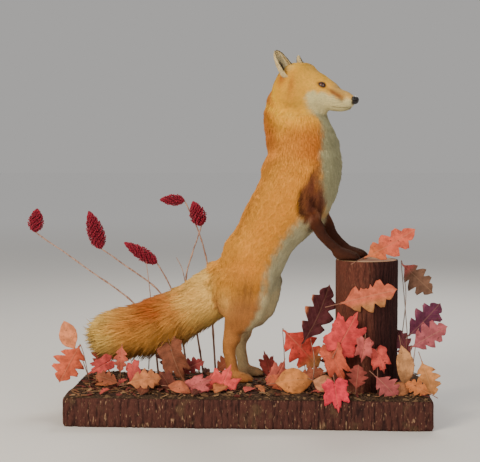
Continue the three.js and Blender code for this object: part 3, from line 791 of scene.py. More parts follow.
# darker brown patches on the hip and a thin dark band above the thigh
hipSpots = [  # tint, middle (x, z), reach, share
    ("hipDark", (0.036, 0.214), (0.028, 0.024), 0.52),
    ("hipDark", (0.026, 0.182), (0.024, 0.034), 0.36),
    ("hipDark", (-0.010, 0.248), (0.042, 0.010), 0.16),
    ("foreRust", (0.008, 0.130), (0.020, 0.020), 0.26),
    ("tailRoot", (-0.018, 0.187), (0.017, 0.026), 0.42),
]


def hipMarks(x, z, fine):
    return [(tint, amount * (1 + 0.35 * fine) * bell(x, x0, dx) * bell(z, z0, dz))
            for tint, (x0, z0), (dx, dz), amount in hipSpots]


def foldShadeAndEarPatch(points):
    # a rusty line along the fold behind the cheek, partly painted shade of the fold and partly rusty fur, and
    # a patch under the ear
    x, y, z = carry(headBack, points).T
    foldShade = bell(x + 0.27 * (z - 0.012), 0.034, 0.0055) * bell(z, 0.010, 0.020)
    patch = bell(x, 0.008, 0.011) * bell(z, 0.016, 0.015)
    return (0.60 * foldShade + 0.85 * patch) * ease(0.012, 0.024, np.abs(y))


def underSide(points):  # 1 on the belly's side of the body, -1 on the back
    _, spot, heading = followGuide(points, guides["torso"])
    forward = turned(foxFrame, (1.0, 0, 0))
    belly = unit(forward - heading * (heading @ forward)[:, None])
    radial = unit(points - spot - heading * np.sum((points - spot) * heading, 1)[:, None])
    return np.sum(radial * belly, 1)


def bodyColour(points):
    x, y, z = carry(foxBack, points).T
    blotch, fine = mottle(points)
    ventral = underSide(points)
    shoulder = ease(0.470, 0.515, z + 0.008 * blotch) * ease(0.580, 0.540, z + 0.008 * blotch)
    saddle = ease(-0.45, -0.95, ventral) * ease(0.30, 0.36, z)
    colour = layered(
        tints["gold"],
        ("neckGold", ease(0.535, 0.610, z + 0.004 * blotch) * 0.95),
        ("rust", foldShadeAndEarPatch(points)),
        ("rust", (0.34 + 0.30 * ease(0.13, 0.18, x)) * shoulder),
        ("rust", (0.30 + 0.45 * ease(0.50, 0.56, z)) * saddle),
        ("tailRoot", 0.65 * ease(-0.3, -0.9, ventral) * ease(0.26, 0.20, z)),
        ("rust", 0.25 * bell(x, 0.03, 0.05) * bell(z, 0.25, 0.03)),
        *hipMarks(x, z, fine))
    # pale front: by distance ahead on the neck and chest, by the underside lower down
    front = ease(-0.007, 0.007, x - np.interp(z, *markLines["bibFront"]) + 0.003 * fine + 0.002 * blotch)
    low = ease(0.58, 0.82, ventral + 0.06 * fine) * ease(0.400, 0.360, z)
    bib = np.maximum(front * ease(0.360, 0.400, z), low)
    # the bib's tint is dimmer than the cheek's white: painted shade of the chest front, which faces away from
    # the light
    pale = over(tints["bib"], tints["belly"], ease(0.44, 0.36, z))
    colour = lerp(colour, pale, bib[:, None])
    # the elbow: a brown patch, dark streaks in it and two creases, painted as dark lines of shade along the
    # foreleg's outline where it meets the body
    behind = x - np.interp(z, *markLines["elbowBack"])
    ahead = np.interp(z, *markLines["elbowFront"]) - x
    atSide = ease(0.018, 0.030, np.abs(y))
    elbow = ease(-0.006, 0.010, behind + 0.003 * fine) * ease(-0.006, 0.008, ahead + 0.003 * fine)
    elbow = elbow * ease(0.498, 0.470, z + 0.004 * fine) * ease(0.300, 0.340, z) * atSide
    streak = waves(points * (1, 1, 0.25), 0.013, 8)
    dark = lerp(0.25, 0.80, ease(0.445, 0.390, z)) * ease(-0.1, 0.9, streak)
    colour = layered(colour, ("elbow", (lerp(0.85, 0.95, ease(0.462, 0.425, z)) + 0.12 * streak) * elbow),
                     ("stocking", dark * elbow))
    for line, first, last in elbowShadeLines:
        crease = bell(x, np.interp(z, *markLines[line]), 0.0042)
        crease = crease * ease(last + 0.006, last - 0.006, z) * ease(first - 0.006, first + 0.006, z)
        colour = layered(colour, ("crease", 0.9 * crease * atSide))
    return colour


def eyeRing(atHead, side, long, tall):
    # place in an oval round the eye, 1 at its edge, and distance in front of the eye's middle
    gaze, level, across = eyeAxes(side)
    rel = atHead - eyeCentre(side)
    return np.sqrt(((rel @ level) / long) ** 2 + ((rel @ across) / tall) ** 2), rel @ gaze


def headColour(points):
    atHead = carry(headBack, points)
    x, y, z = atHead.T
    blotch, fine = mottle(points)
    offMiddle = np.abs(y) > 0.006
    white = ease(0.005, -0.005, z - np.interp(x, *markLines["cheekTop"]) + 0.003 * fine)
    rear = np.interp(z, *markLines["cheekRear"])
    t = np.clip((x - 0.094) / 0.040, 0, 1)
    tear = bell(z, lerp(0.0165, 0.0050, t), lerp(0.0036, 0.0066, t)) * ease(0.088, 0.108, x)
    colour = layered(
        tints["crown"],
        ("neckGold", ease(0.045, 0.010, x)),
        ("muzzleTop", ease(0.092, 0.112, x) * ease(0.004, 0.012, z + 0.002 * fine)),
        ("neckGold", 0.6 * bell(x, 0.078, 0.010) * bell(z, 0.038, 0.006)),
        ("cheek", 0.65 * bell(x, 0.010, 0.011) * bell(z, 0.030, 0.014) * bell(np.abs(y), 0.034, 0.014)),
        ("rust", foldShadeAndEarPatch(points)),
        ("cheek", white * ease(-0.007, 0.007, x - rear + 0.003 * blotch)),
        ("tear", 0.90 * tear * ease(0.144, 0.124, x) * offMiddle),
        ("lip", 0.40 * bell(x, 0.131, 0.006) * bell(z, 0.002, 0.005) * offMiddle))
    for side in (-1, 1):
        rim, front = eyeRing(atHead, side, 0.0088, 0.0056)
        close = (front > 0) * (np.abs(front) < 0.02)
        colour = layered(colour, ("tear", 0.6 * ease(1.7, 1.0, rim) * close),
                         ("lip", 0.95 * ease(1.10, 0.88, rim) * close))
    return layered(colour, ("lip", 0.5 * bell(z, mouthLine(x), 0.0016) * ease(0.106, 0.114, x)),
                   ("lip", ease(0.146, 0.151, x) * ease(-0.006, 0.0, z)))


def tailColour(points):
    blotch, fine = mottle(points)
    along, spot, _ = followGuide(points, guides["tail"])
    height = np.clip((points - spot)[:, 2] / 0.045, -1, 1)
    bands = ease(-0.2, 0.9, waves(points * (1, 1, 0.45), 0.026, 9))
    bands = bands * ease(0.14, 0.3, along) * ease(0.88, 0.72, along)
    return along, layered(
        tints["tailLow"],
        ("tailRoot", 0.9 * ease(0.38, 0.18, along + 0.04 * blotch + 0.02 * fine)),
        ("tailTop", bell(along, 0.44, 0.17) * ease(-0.3, 0.6, height + 0.25 * blotch)),
        ("foreRust", 0.34 * bands * ease(0.9, -0.2, height)),
        ("tailTip", ease(0.66, 0.84, along + 0.03 * blotch + 0.02 * fine)))


def hindColour(points, normals, body):
    x, y, z = carry(foxBack, points).T
    level = turned(foxBack, normals)[:, 1]
    out = np.where(y > 0, level, -level)
    fine = mottle(points)[1]
    pale = ease(-0.006, 0.006, x - np.interp(z, *markLines["creamThigh"]) + 0.003 * fine)
    pale = pale * ease(0.215, 0.190, z) * ease(0.098, 0.112, z)
    gold = layered(tints["thigh"], *hipMarks(x, z, fine))
    colour = over(lerp(gold, body, ease(0.17, 0.22, z)[:, None]), tints["cream"], pale)
    inner = over(tints["cream"], tints["foreRust"], 0.45 * ease(0.13, 0.09, z))
    colour = over(colour, inner, ease(0.15, -0.45, out) * ease(0.24, 0.19, z))
    return layered(colour, ("foreRust", 0.22 * ease(-0.2, 0.8, fine) * ease(0.16, 0.12, z)),
                   ("foreRust", 0.45 * ease(0.030, 0.008, z)))


def foreColour(points, normals, body):
    z = carry(foxBack, points)[:, 2]
    behind = ease(0.1, -0.7, turned(foxBack, normals)[:, 0])
    rusty = ease(0.335, 0.395, z + 0.008 * mottle(points)[0]) + 0.35 * behind
    return lerp(over(tints["stocking"], tints["foreRust"], rusty), body, ease(0.385, 0.420, z)[:, None])


def markings(points, normals, owner):
    # colour at each point from where it is on the body
    part = fleshParts[owner]
    colour = body = bodyColour(points)
    tailAlong, tail = tailColour(points)
    for parts, own in ((["head"], headColour(points)),
                       (["tail"], lerp(body, tail, ease(0.0, 0.08, tailAlong)[:, None])),
                       (["foreleg", "forepaw"], foreColour(points, normals, body)),
                       (["thigh", "shank", "hindpaw"], hindColour(points, normals, body))):
        colour = np.where(np.isin(part, parts)[:, None], own, colour)
    blotch, fine = mottle(points)
    return np.clip(colour * (1 + 0.05 * blotch + 0.03 * fine)[:, None], 0.002, 1)


# lie of the coat over the skin

coatPlan = {  # by body part: tuft length, half width, lift at the root, lift at the tip (degrees), spacing
    "muzzle": (0.0050, 0.00028, 20, 5, 0.00074),
    "crown": (0.0105, 0.00036, 22, 6, 0.00084),
    "cheek": (0.0180, 0.00044, 25, 8, 0.00090),
    "neck": (0.0250, 0.00056, 26, 8, 0.00108),
    "chest": (0.0220, 0.00056, 23, 6, 0.00119),
    "trunk": (0.0200, 0.00054, 22, 6, 0.00117),
    "tail": (0.0380, 0.00068, 32, 15, 0.00117),
    "thigh": (0.0160, 0.00050, 22, 6, 0.00112),
    "shank": (0.0080, 0.00039, 22, 5, 0.00096),
    "foreleg": (0.0080, 0.00039, 22, 5, 0.00096),
    "paw": (0.0050, 0.00034, 20, 4, 0.00089),
}
coatKinds = list(coatPlan)


def coatKindTable(points, owner):
    # how much of each kind of coat a point has, softened over the skin afterwards
    part = fleshParts[owner]
    named = np.where(np.char.endswith(part, "paw"), "paw", part)
    share = {kind: (named == kind).astype(float) for kind in coatKinds}
    x, _, z = carry(headBack, points).T
    muzzle = ease(0.082, 0.104, x)
    cheek = ease(0.015, -0.015, z) * ease(0.085, 0.050, x)
    height = carry(foxBack, points)[:, 2]
    for own, kind, amount in (("head", "muzzle", muzzle), ("head", "cheek", (1 - muzzle) * cheek),
                              ("head", "crown", (1 - muzzle) * (1 - cheek)),
                              ("thigh", "thigh", ease(0.115, 0.175, height)),
                              ("thigh", "shank", ease(0.175, 0.115, height))):
        share[kind] = np.where(part == own, amount, share[kind])
    return np.stack([share[kind] for kind in coatKinds], 1)


def coatFlow(points, owner):
    flow = np.zeros((len(points), 3))
    for index, node in enumerate(fleshNodes):
        mine = owner == index
        if mine.any():
            flow[mine] = followGuide(points[mine], guides[guideOf(node)])[2]
    x, _, z = carry(headBack, points).T
    down = turned(headFrame, (-0.25, 0, -1.0))
    cheek = (fleshParts[owner] == "head") * ease(0.095, 0.045, x) * ease(0.030, -0.020, z)
    return unit(flow + down * 0.9 * cheek[:, None])


skinPoints, skinNormals = meshArrays(skinMesh)
skinEdges = meshEdges(skinMesh)
skinOwner = ownersAt(skinPoints)
skinShare = soften(coatKindTable(skinPoints, skinOwner), skinEdges, 24)
skinFlow = unit(soften(coatFlow(skinPoints, skinOwner), skinEdges, 40))
skinSmooth = unit(soften(skinNormals, skinEdges, 6))
skinColour = soften(markings(skinPoints, skinNormals, skinOwner), skinEdges, 2)
skinTriangles = triangles(skinMesh)
print("coat directions found")


def skinFinish():
    finish = Finish("hide")
    colour = finish.attribute("markings")
    grain = finish.noise(0.0016, detail=4, stretch=(1, 1, 0.35))
    tone = finish.blend(grain, 0.35, 0.65, colour * 0.62, colour * 0.95)
    return finish.surface(baseColor=tone, roughness=0.85, specular=0.2,
                          normal=finish.bump(grain, 0.0006, 0.6), sheen=0.2)


hideMaterial = skinFinish()
paint(skinMesh, "markings", skinColour)
addPiece("fox_skin", skinMesh, hideMaterial, fleshNodes)


# coat: thousands of small closed tufts

def coatFinish():
    finish = Finish("fur")
    colour = finish.attribute("markings")
    flecks = finish.noise(0.0045, detail=2)
    tone = finish.blend(flecks, 0.3, 0.7, colour * 0.92, colour * 1.06)
    return finish.surface(baseColor=tone, roughness=0.75, specular=0.12, sheen=0.06, sheenRough=0.5,
                          sheenTint=(1.0, 0.82, 0.60))


coatMaterial = coatFinish()


tuftPlan = {
    "swing": (7, 8),  # degrees sideways: each on its own, and together over a patch
    "patch": 0.045,
    "longs": (0.72, 1.15),
    "middle": 0.42,  # share of the length before the bend
    "liftSpread": (4, 3),
    "clump": 0.007,
    "gather": 0.14,
    "cell": 0.006,
    "thin": either(1.0),
    "wide": either(1.0),
    "wispShare": 0.14,
    "wispLong": 1.4,
    "rootShade": 0.70,
    "tipShade": 1.06,
    "mostInPiece": 45000,
    "bakePatch": 0.0030,
    "tailRootLong": 0.30,  # share of the length where the tail starts
    "napeLift": 14,
    "hangLift": (14, 16),  # under the tail, at the root and at the tip
    "hangDown": 0.55,
    "eyeLongs": (0.0016, 0.0110),  # longest tufts at the eye and farther out
    "eyeReach": (0.009, 0.026),
}


def scatterRoots(corners, points, perArea, dice):
    # roots spread evenly: triangle index and weights; perArea is tufts for each square metre
    a, b, c = (points[corners[:, k]] for k in range(3))
    area = np.linalg.norm(np.cross(b - a, c - a), axis=1) / 2
    number = np.floor(area * perArea + dice.random(len(area))).astype(int)
    pick = np.repeat(np.arange(len(corners)), number)
    r1 = np.sqrt(dice.random(len(pick)))
    r2 = dice.random(len(pick))
    return pick, np.stack([1 - r1, r1 * (1 - r2), r1 * r2], 1)


def dot(a, b):  # row by row, as a column
    return np.sum(a * b, 1)[:, None]


def swung(flow, side, angle):
    return flow * np.cos(angle)[:, None] + side * np.sin(angle)[:, None]


def tuftArrays(root, normal, flow, length, half, liftRoot, liftTip, dice):
    # four points and four faces for each tuft: root, left, right, tip
    count = len(root)
    own, shared = tuftPlan["swing"]
    swing = np.radians(dice.normal(0, own, count) + shared * waves(root, tuftPlan["patch"], 11))
    flow = unit(swung(flow, unit(np.cross(normal, flow)), swing))
    side = unit(np.cross(normal, flow))
    long = length * dice.uniform(*tuftPlan["longs"], count)
    lifts = [np.radians(lift + dice.normal(0, spread, count))
             for lift, spread in zip((liftRoot, liftTip), tuftPlan["liftSpread"])]
    bend = tuftPlan["middle"]
    middle = root + (long * bend)[:, None] * swung(flow, normal, lifts[0])
    tip = middle + (long * (1 - bend))[:, None] * swung(flow, normal, lifts[1])
    seeds = np.flatnonzero(dice.random(count) < areaOf(root) / tuftPlan["clump"] ** 2 / count)
    if len(seeds) > 3:
        tree = KDTree(len(seeds))
        for index, place in enumerate(root[seeds].tolist()):
            tree.insert(place, index)
        tree.balance()
        near = seeds[np.array([tree.find(p)[1] for p in root.tolist()])]
        pull = tuftPlan["gather"] * dice.uniform(0.2, 1.0, count)[:, None]
        meet = lerp(tip, root[near] + (tip[near] - root[near]) * (long / long[near])[:, None], pull)
        lift = dot(meet - root, normal)
        keep = np.maximum(lift, dot(tip - root, normal) * 0.75)
        tip = meet + normal * (keep - lift)
        middle = middle + (root[near] - root) * (pull * 0.25)
    root = root - normal * (half * 0.8)[:, None]
    points = np.stack([root, middle + side * half[:, None], middle - side * half[:, None], tip], 1)
    faces = np.array([[0, 2, 1], [3, 1, 2], [0, 1, 3], [0, 3, 2]])[None] + np.arange(count)[:, None, None] * 4
    soft = np.stack([normal - 0.1 * flow, normal + 0.3 * side, normal - 0.3 * side, normal + 0.1 * flow], 1)
    return points.reshape(-1, 3), faces.reshape(-1, 3), unit(soft).reshape(-1, 3)


def areaOf(points):  # rough area that roots cover, by counting small cells
    cells = np.unique(np.round(points / tuftPlan["cell"]).astype(int), axis=0)
    return len(cells) * tuftPlan["cell"] ** 2 * 0.8


def coatPiece(name, arrays, colours, rootUv):
    points, faces, normals = arrays
    mesh = buildMesh(name, points, faces)
    paint(mesh, "markings", colours)
    steps = np.array([(0, -0.5), (-0.5, 0), (0.5, 0), (0, 0.5)]) * tuftPlan["bakePatch"]
    writeUv(mesh, "OFBake", (rootUv[:, None] + steps).reshape(-1, 2))
    mesh.normals_split_custom_set_from_vertices(normals.tolist())
    addPiece(name, mesh, coatMaterial)


def tuftColours(base, dice):
    count = len(base)
    tone = dice.normal(1.0, 0.05, count)
    agouti = np.where(dice.random(count) < 0.05, dice.uniform(0.60, 0.85, count), 1.0)
    shade = np.full(count, tuftPlan["rootShade"])
    steps = np.stack([shade, tone, tone, tone * tuftPlan["tipShade"] * agouti], 1)
    full = np.repeat(base[:, None], 4, 1)
    full[:, 0] = lerp(base, tints["under"] * base.mean(1, keepdims=True) / tints["under"].mean(), 0.35)
    return np.clip(full * steps[:, :, None], 0.001, 1).reshape(-1, 3)


def cylinderUv(points, guide):
    # unwrap of the body part round its own line: angle one way, length the other
    along, spot, heading = followGuide(points, guide)
    radial = points - spot
    aid = turned(foxFrame, (0.0, 1.0, 0.0))
    one = unit(aid - heading * (heading @ aid)[:, None])
    two = np.cross(heading, one)
    angle = np.arctan2(np.sum(radial * two, 1), np.sum(radial * one, 1)) / (2 * math.pi) + 0.5
    return 0.01 + 0.98 * np.stack([angle, np.clip(along, 0, 1)], 1)


coatRegions = {  # piece: nodes, slot
    "coat_head": (["head"], "coat_red"),
    "coat_neck": (["neck"], "coat_pale"),
    "coat_chest": (["chest"], "coat_red"),
    "coat_trunk": (["trunk"], "coat_red"),
    "coat_tail": (["tail", "tail_tip"], "coat_red"),
}
for limb, parts, slot in (("fore", ("foreleg", "forepaw"), "coat_dark"), ("haunch", ("thigh",), "coat_red"),
                          ("hock", ("shank", "hindpaw"), "coat_red")):
    for side in ("right", "left"):
        coatRegions[f"coat_{limb}_{side}"] = ([f"{part}_{side}" for part in parts], slot)


def bareFace(points):  # roots that would grow out of the eyes, lips or nose
    p = carry(headBack, points)
    x, y, z = p.T
    bare = (x > 0.1475) | ((np.abs(z - mouthLine(x)) < 0.0012) & (x > 0.112) & (np.abs(y) > 0.004))
    for side in (-1, 1):
        rim, front = eyeRing(p, side, 0.0082, 0.0053)
        near = np.linalg.norm(p - eyeCentre(side), axis=1) < 0.02
        bare = bare | ((rim < 1) & (front > 0) & near)
    return bare


def growCoat():
    dice = np.random.default_rng(21)
    vertexPlan = skinShare @ np.array([coatPlan[k] for k in coatKinds])
    spacing = vertexPlan[skinTriangles, 4].mean(1)
    pick, weights = scatterRoots(skinTriangles, skinPoints, 1 / spacing ** 2 / tuftPlan["thin"], dice)
    corners = skinTriangles[pick]
    root, normal, flow, own, colour = (np.sum(values[corners] * weights[:, :, None], 1) for values in
                                       (skinPoints, skinSmooth, skinFlow, vertexPlan, skinColour))
    normal = unit(normal)
    flow = unit(flow - normal * dot(flow, normal))
    owner = skinOwner[corners[:, 0]]
    long, half, liftRoot, liftTip, _ = own.T
    atHead = carry(headBack, root)
    isTail = fleshParts[owner] == "tail"
    along, spot, _ = followGuide(root, guides["tail"])
    wisp = isTail & (dice.random(len(root)) < tuftPlan["wispShare"])
    long = long * np.where(isTail, lerp(tuftPlan["tailRootLong"], 1, ease(0.02, 0.40, along)), 1)
    long = long * np.where(wisp, tuftPlan["wispLong"], 1)
    nape = ease(0.030, 0.005, atHead[:, 0]) * ease(0.030, 0.045, atHead[:, 2])
    calm = np.where(isTail, ease(0.16, 0.04, along), 0)
    hang = isTail * ease(0.05, 0.30, along) * ease(0.2, -0.8, (root - spot)[:, 2] / 0.04)
    flow[:, 2] = np.where(isTail & (along < 0.2), np.minimum(flow[:, 2], -0.15), flow[:, 2])
    flow = unit(flow - np.array([0, 0, tuftPlan["hangDown"]]) * hang[:, None])
    flow = unit(flow - normal * dot(flow, normal))
    half = half * tuftPlan["wide"]
    hangRoot, hangTip = tuftPlan["hangLift"]
    liftRoot = (liftRoot + tuftPlan["napeLift"] * nape) * (1 - 0.5 * calm) + hangRoot * hang
    liftTip = liftTip * (1 - 0.8 * calm) + hangTip * hang
    nearEye = pairAway(atHead, face["eye"])
    first, last = tuftPlan["eyeReach"]
    longest = lerp(*tuftPlan["eyeLongs"], ease(first, last, nearEye))
    long = np.where(nearEye > last, long, np.minimum(long, longest))
    keep = ~((fleshParts[owner] == "head") & bareFace(root))
    tufts = (root, normal, flow, long, half, liftRoot, liftTip)
    total = 0
    for name, (nodes, slot) in coatRegions.items():
        guide = guides[guideOf(nodes[0])]
        mine = np.flatnonzero(keep & np.isin(owner, [fleshNodes.index(node) for node in nodes]))
        mine = mine[np.argsort(followGuide(root[mine], guide)[0])]
        count = max(1, math.ceil(len(mine) / tuftPlan["mostInPiece"]))
        for k, some in enumerate(np.array_split(mine, count)):
            arrays = tuftArrays(*(values[some] for values in tufts), dice)
            label = name if count == 1 else f"{name}_{k + 1}"
            coatPiece(label, arrays, tuftColours(colour[some], dice), cylinderUv(root[some], guide))
            total += len(some)
            print(label, len(some), "tufts")
    print("coat:", total, "tufts,", total * 4, "triangles")


growCoat()


# ears: cupped shells with dark backs, cream rims and long inner hair

earPlan = {  # in the head's frame; the tips are the two ears' own
    "base": (0.006, 0.037, 0.026),
    "tips": {-1: (-0.030, 0.051, 0.066), 1: (-0.0225, 0.048, 0.065)},
    "turn": math.radians(4),
    "sink": 0.014,
    "half": 0.0205,
    "deep": 0.0120,
    "thick": 0.0016,
    "wide": ([0, 0.12, 0.35, 0.6, 0.8, 0.93, 1], [0.74, 0.94, 1.0, 0.93, 0.76, 0.54, 0.24]),
    "cup": ([0, 0.3, 0.6, 0.85, 1], [1.0, 0.95, 0.72, 0.45, 0.15]),
    "sweep": math.radians(112),
    "spread": 0.00098 * either(1.0),
    "area": 0.0030,  # square metres of coat on each face of the shell
    "halfWide": (0.00038 * either(1.0), 0.00034 * either(1.0)),  # outer and inner tufts
    "lift": (18.0, 34.0),
    # inside: the dark tint painted as shade low in the ear's cup
    "tints": {"back": (40, 27, 20), "backLow": (196, 128, 62), "rim": (228, 204, 150), "inside": (64, 46, 34),
              "innerHair": (216, 200, 156)},
}


def earGrid(side, rows=30, columns=37):
    # points, outward and upward directions, place up the ear (0 to 1) and round it (-1 to 1)
    base, tip = (np.array(p) * (1, side, 1) for p in (earPlan["base"], earPlan["tips"][side]))
    long = np.linalg.norm(tip - base)
    up = (tip - base) / long
    front = np.array([math.cos(earPlan["turn"]), side * math.sin(earPlan["turn"]), 0])
    front = unit(front - up * (front @ up))
    across = np.cross(up, front)
    t, u = np.meshgrid(np.linspace(0, 1, rows), np.linspace(-1, 1, columns), indexing="ij")
    phi = u * earPlan["sweep"]
    deep = earPlan["deep"] * np.interp(t, *earPlan["cup"])
    a = (earPlan["half"] * np.interp(t, *earPlan["wide"]) + 0.0012 * np.sin(5 * t + phi)) * np.sin(phi)
    f = -deep * np.cos(phi) + deep * 0.15
    z = lerp(-earPlan["sink"], long, t)
    points = base + a[..., None] * across + f[..., None] * front + z[..., None] * up
    upward = np.gradient(points, axis=0)
    outward = unit(np.cross(np.gradient(points, axis=1), upward))
    outward = outward * (1 if (outward[:, columns // 2] @ -front).mean() > 0 else -1)
    return points, outward, unit(upward), t, u


def earColours(t, u, outer):
    tint = {k: linear(*v) for k, v in earPlan["tints"].items()}
    back = lerp(tint["backLow"], tint["back"], ease(0.30, 0.55, t)[..., None])
    pale = (0.30, 0.62) if outer else (0.45, 0.78)
    rim = ease(*pale, np.maximum(np.abs(u), ease(0.60, 0.95, t) * 0.97))
    # painted shade: a dark zone low in the cup, where the ear's hollow lies in shade
    slit = ease(0.34, 0.10, np.abs(u + 0.15)) * ease(0.72, 0.50, t)
    inside = lerp(tint["innerHair"], tint["inside"], slit[..., None])
    return lerp(np.where(outer, back, inside), tint["rim"], rim[..., None])


def makeEar(side, name, dice):
    points, outward, upward, t, u = earGrid(side)
    rows, columns = t.shape
    size = rows * columns
    inner = points - outward * earPlan["thick"]
    world = carry(headFrame, np.concatenate([points.reshape(-1, 3), inner.reshape(-1, 3)]))
    quads = gridFaces(rows, columns)
    a = gridRim(rows, columns)
    b = np.roll(a, -1)
    edge = np.stack([a, b, b + size, a + size], 1)
    mesh = buildMesh(f"ear_shell_{name}", world, np.concatenate([quads[:, ::-1], quads + size, edge]))
    work = bmesh.new()
    work.from_mesh(mesh)
    bmesh.ops.recalc_face_normals(work, faces=work.faces)
    work.to_mesh(mesh)
    work.free()
    colours = [earColours(t, u, outer).reshape(-1, 3) for outer in (True, False)]
    paint(mesh, "markings", 0.8 * np.concatenate(colours))
    addPiece(f"ear_shell_{name}", mesh, hideMaterial, [f"ear_{name}"])
    tufts = []
    for outer in (True, False):
        count = int(earPlan["area"] / earPlan["spread"] ** 2)
        i = dice.random(count) ** 0.9 * (rows - 1.001)
        j = dice.random(count) * (columns - 1.001)
        a, b = i.astype(int), j.astype(int)
        r, c = (i - a)[:, None], (j - b)[:, None]
        root, n, flow, tt, uu = (
            lerp(lerp(g[a, b], g[a + 1, b], r), lerp(g[a, b + 1], g[a + 1, b + 1], r), c)
            for g in (grid.reshape(rows, columns, -1) for grid in (points, outward, upward, t, u)))
        n, flow, tt, uu = unit(n), unit(flow), tt[:, 0], uu[:, 0]
        sideways = unit(np.cross(n, flow)) * np.sign(uu)[:, None]
        edge = ease(0.6, 1.0, np.abs(uu))
        if outer:
            aim = unit(flow + sideways * (0.35 * edge)[:, None])
            long = lerp(0.0085, 0.0042, tt) + 0.0015 * edge
        else:
            root = root - n * earPlan["thick"]
            n = -n
            aim = unit(flow * 0.9 - sideways * 0.25)
            long = lerp(0.017, 0.008, tt) * lerp(0.70, 1.0, edge)
        tufts.append((root, n, aim, long, earColours(tt, uu, outer), tt, uu, np.full(count, outer)))
    tufts = [np.concatenate(values) for values in zip(*tufts)]
    share = np.where(tufts[7], 1.0, 0.45 + 0.55 * ease(0.2, 0.6, np.abs(tufts[6])))
    keep = dice.random(len(share)) < share
    root, n, aim, long, colour, tt, uu, outer = (values[keep] for values in tufts)
    half = np.where(outer, *earPlan["halfWide"])
    lift = np.where(outer, *earPlan["lift"])
    arrays = tuftArrays(carry(headFrame, root), turned(headFrame, n), turned(headFrame, aim), long, half,
                        lift, lift * 0.4, dice)
    uv = np.stack([0.02 + 0.23 * (uu + 1) + 0.5 * ~outer, 0.02 + 0.96 * tt], 1)
    coatPiece(f"coat_ear_{name}", arrays, tuftColours(colour, dice), uv)
    return len(root)


# eyes, nose, whiskers and claws

def sphereArrays(rows, columns):  # unit sphere as rings along its own X, with tiny flat caps
    lat = np.linspace(0.001, math.pi - 0.001, rows)[:, None]
    lon = np.arange(columns)[None] / columns * 2 * math.pi
    points = np.stack([np.cos(lat) + 0 * lon, np.sin(lat) * np.cos(lon), np.sin(lat) * np.sin(lon)], -1)
    caps = [[0, j + 1, j] for j in range(1, columns - 1)]
    last = (rows - 1) * columns
    caps += [[last, last + j, last + j + 1] for j in range(1, columns - 1)]
    return points.reshape(-1, 3), np.concatenate([gridTriangles(rows, columns, True), caps])


eyeLook = {"iris": (104, 52, 22), "irisRim": (38, 20, 12), "white": (54, 34, 26), "pupil": (6, 5, 5),
           "irisTurn": 0.74, "pupilWide": 0.16, "pupilTall": 0.42}


def eyeFinish():
    finish = Finish("eye glass")
    colour = finish.attribute("iris")
    return finish.surface(baseColor=colour, roughness=0.12, specular=0.5, coat=1.0, coatRough=0.02)


def makeEyes():
    material = eyeFinish()
    tints = {key: linear(*eyeLook[key]) for key in ("iris", "irisRim", "white", "pupil")}
    for side, name in ((-1, "right"), (1, "left")):
        gaze, level, across = eyeAxes(side)
        points, faces = sphereArrays(40, 64)
        u, v = points[:, 1], points[:, 2]
        off = np.hypot(u, v)
        ahead = points[:, 0] > 0
        iris = eyeLook["irisTurn"]
        spokes = 0.5 + 0.5 * waves(np.stack([np.arctan2(v, u) * 9, off * 2, 0 * u], 1), 2.0, 5)
        tone = over(tints["iris"], tints["irisRim"], ease(0.45, 1.0, off / iris) * 0.8)
        tone = tone * (0.8 + 0.4 * spokes)[:, None]
        tone = np.where(((off > iris) | ~ahead)[:, None], tints["white"], tone)
        pupil = np.hypot(u / eyeLook["pupilWide"], v / eyeLook["pupilTall"])
        tone = over(tone, tints["pupil"], ease(1.15, 0.9, pupil) * ahead)
        axes = np.stack([gaze, level, across])
        centre = eyeCentre(side)
        ball = centre + points * face["eyeRadius"] @ axes
        mesh = buildMesh(f"eyeball_{name}", carry(headFrame, ball), faces)
        paint(mesh, "iris", tone)
        addPiece(f"eyeball_{name}", mesh, material, [f"eye_{name}"])
        rims = []
        reach = face["eyeRadius"] + face["lidThick"] * 0.55
        for half in (1, -1):
            s = np.linspace(-1, 1, 25)
            a = s * face["slitLong"]
            b = half * slitEdge(s) * 0.98
            out = np.sqrt(np.maximum(reach ** 2 - a ** 2 - b ** 2, 0))
            line = centre + out[:, None] * gaze + a[:, None] * level + b[:, None] * across
            rims.append(tubeArrays(carry(headFrame, line), face["rimHalf"] * (1.1 - 0.5 * s ** 2), 8))
        rim = buildMesh(f"eye_rim_{name}", *joinArrays(rims))
        addPiece(f"eye_rim_{name}", rim, darkSkin)


noseLook = {"centre": (0.1508, 0.0, 0.0072), "half": (0.0090, 0.0104, 0.0088), "tone": (24, 19, 18)}


def leatherFinish(name, tone, rough, size):
    finish = Finish(name)
    grain = finish.cells(size, feature="SMOOTH_F1")
    tone = linear(*tone)
    return finish.surface(baseColor=finish.colourMix(grain, tone, 0.55 * tone), roughness=rough,
                          normal=finish.bump(grain, 0.0004, 0.5))


darkSkin = leatherFinish("dark rim skin", (30, 21, 18), 0.42, 0.0009)


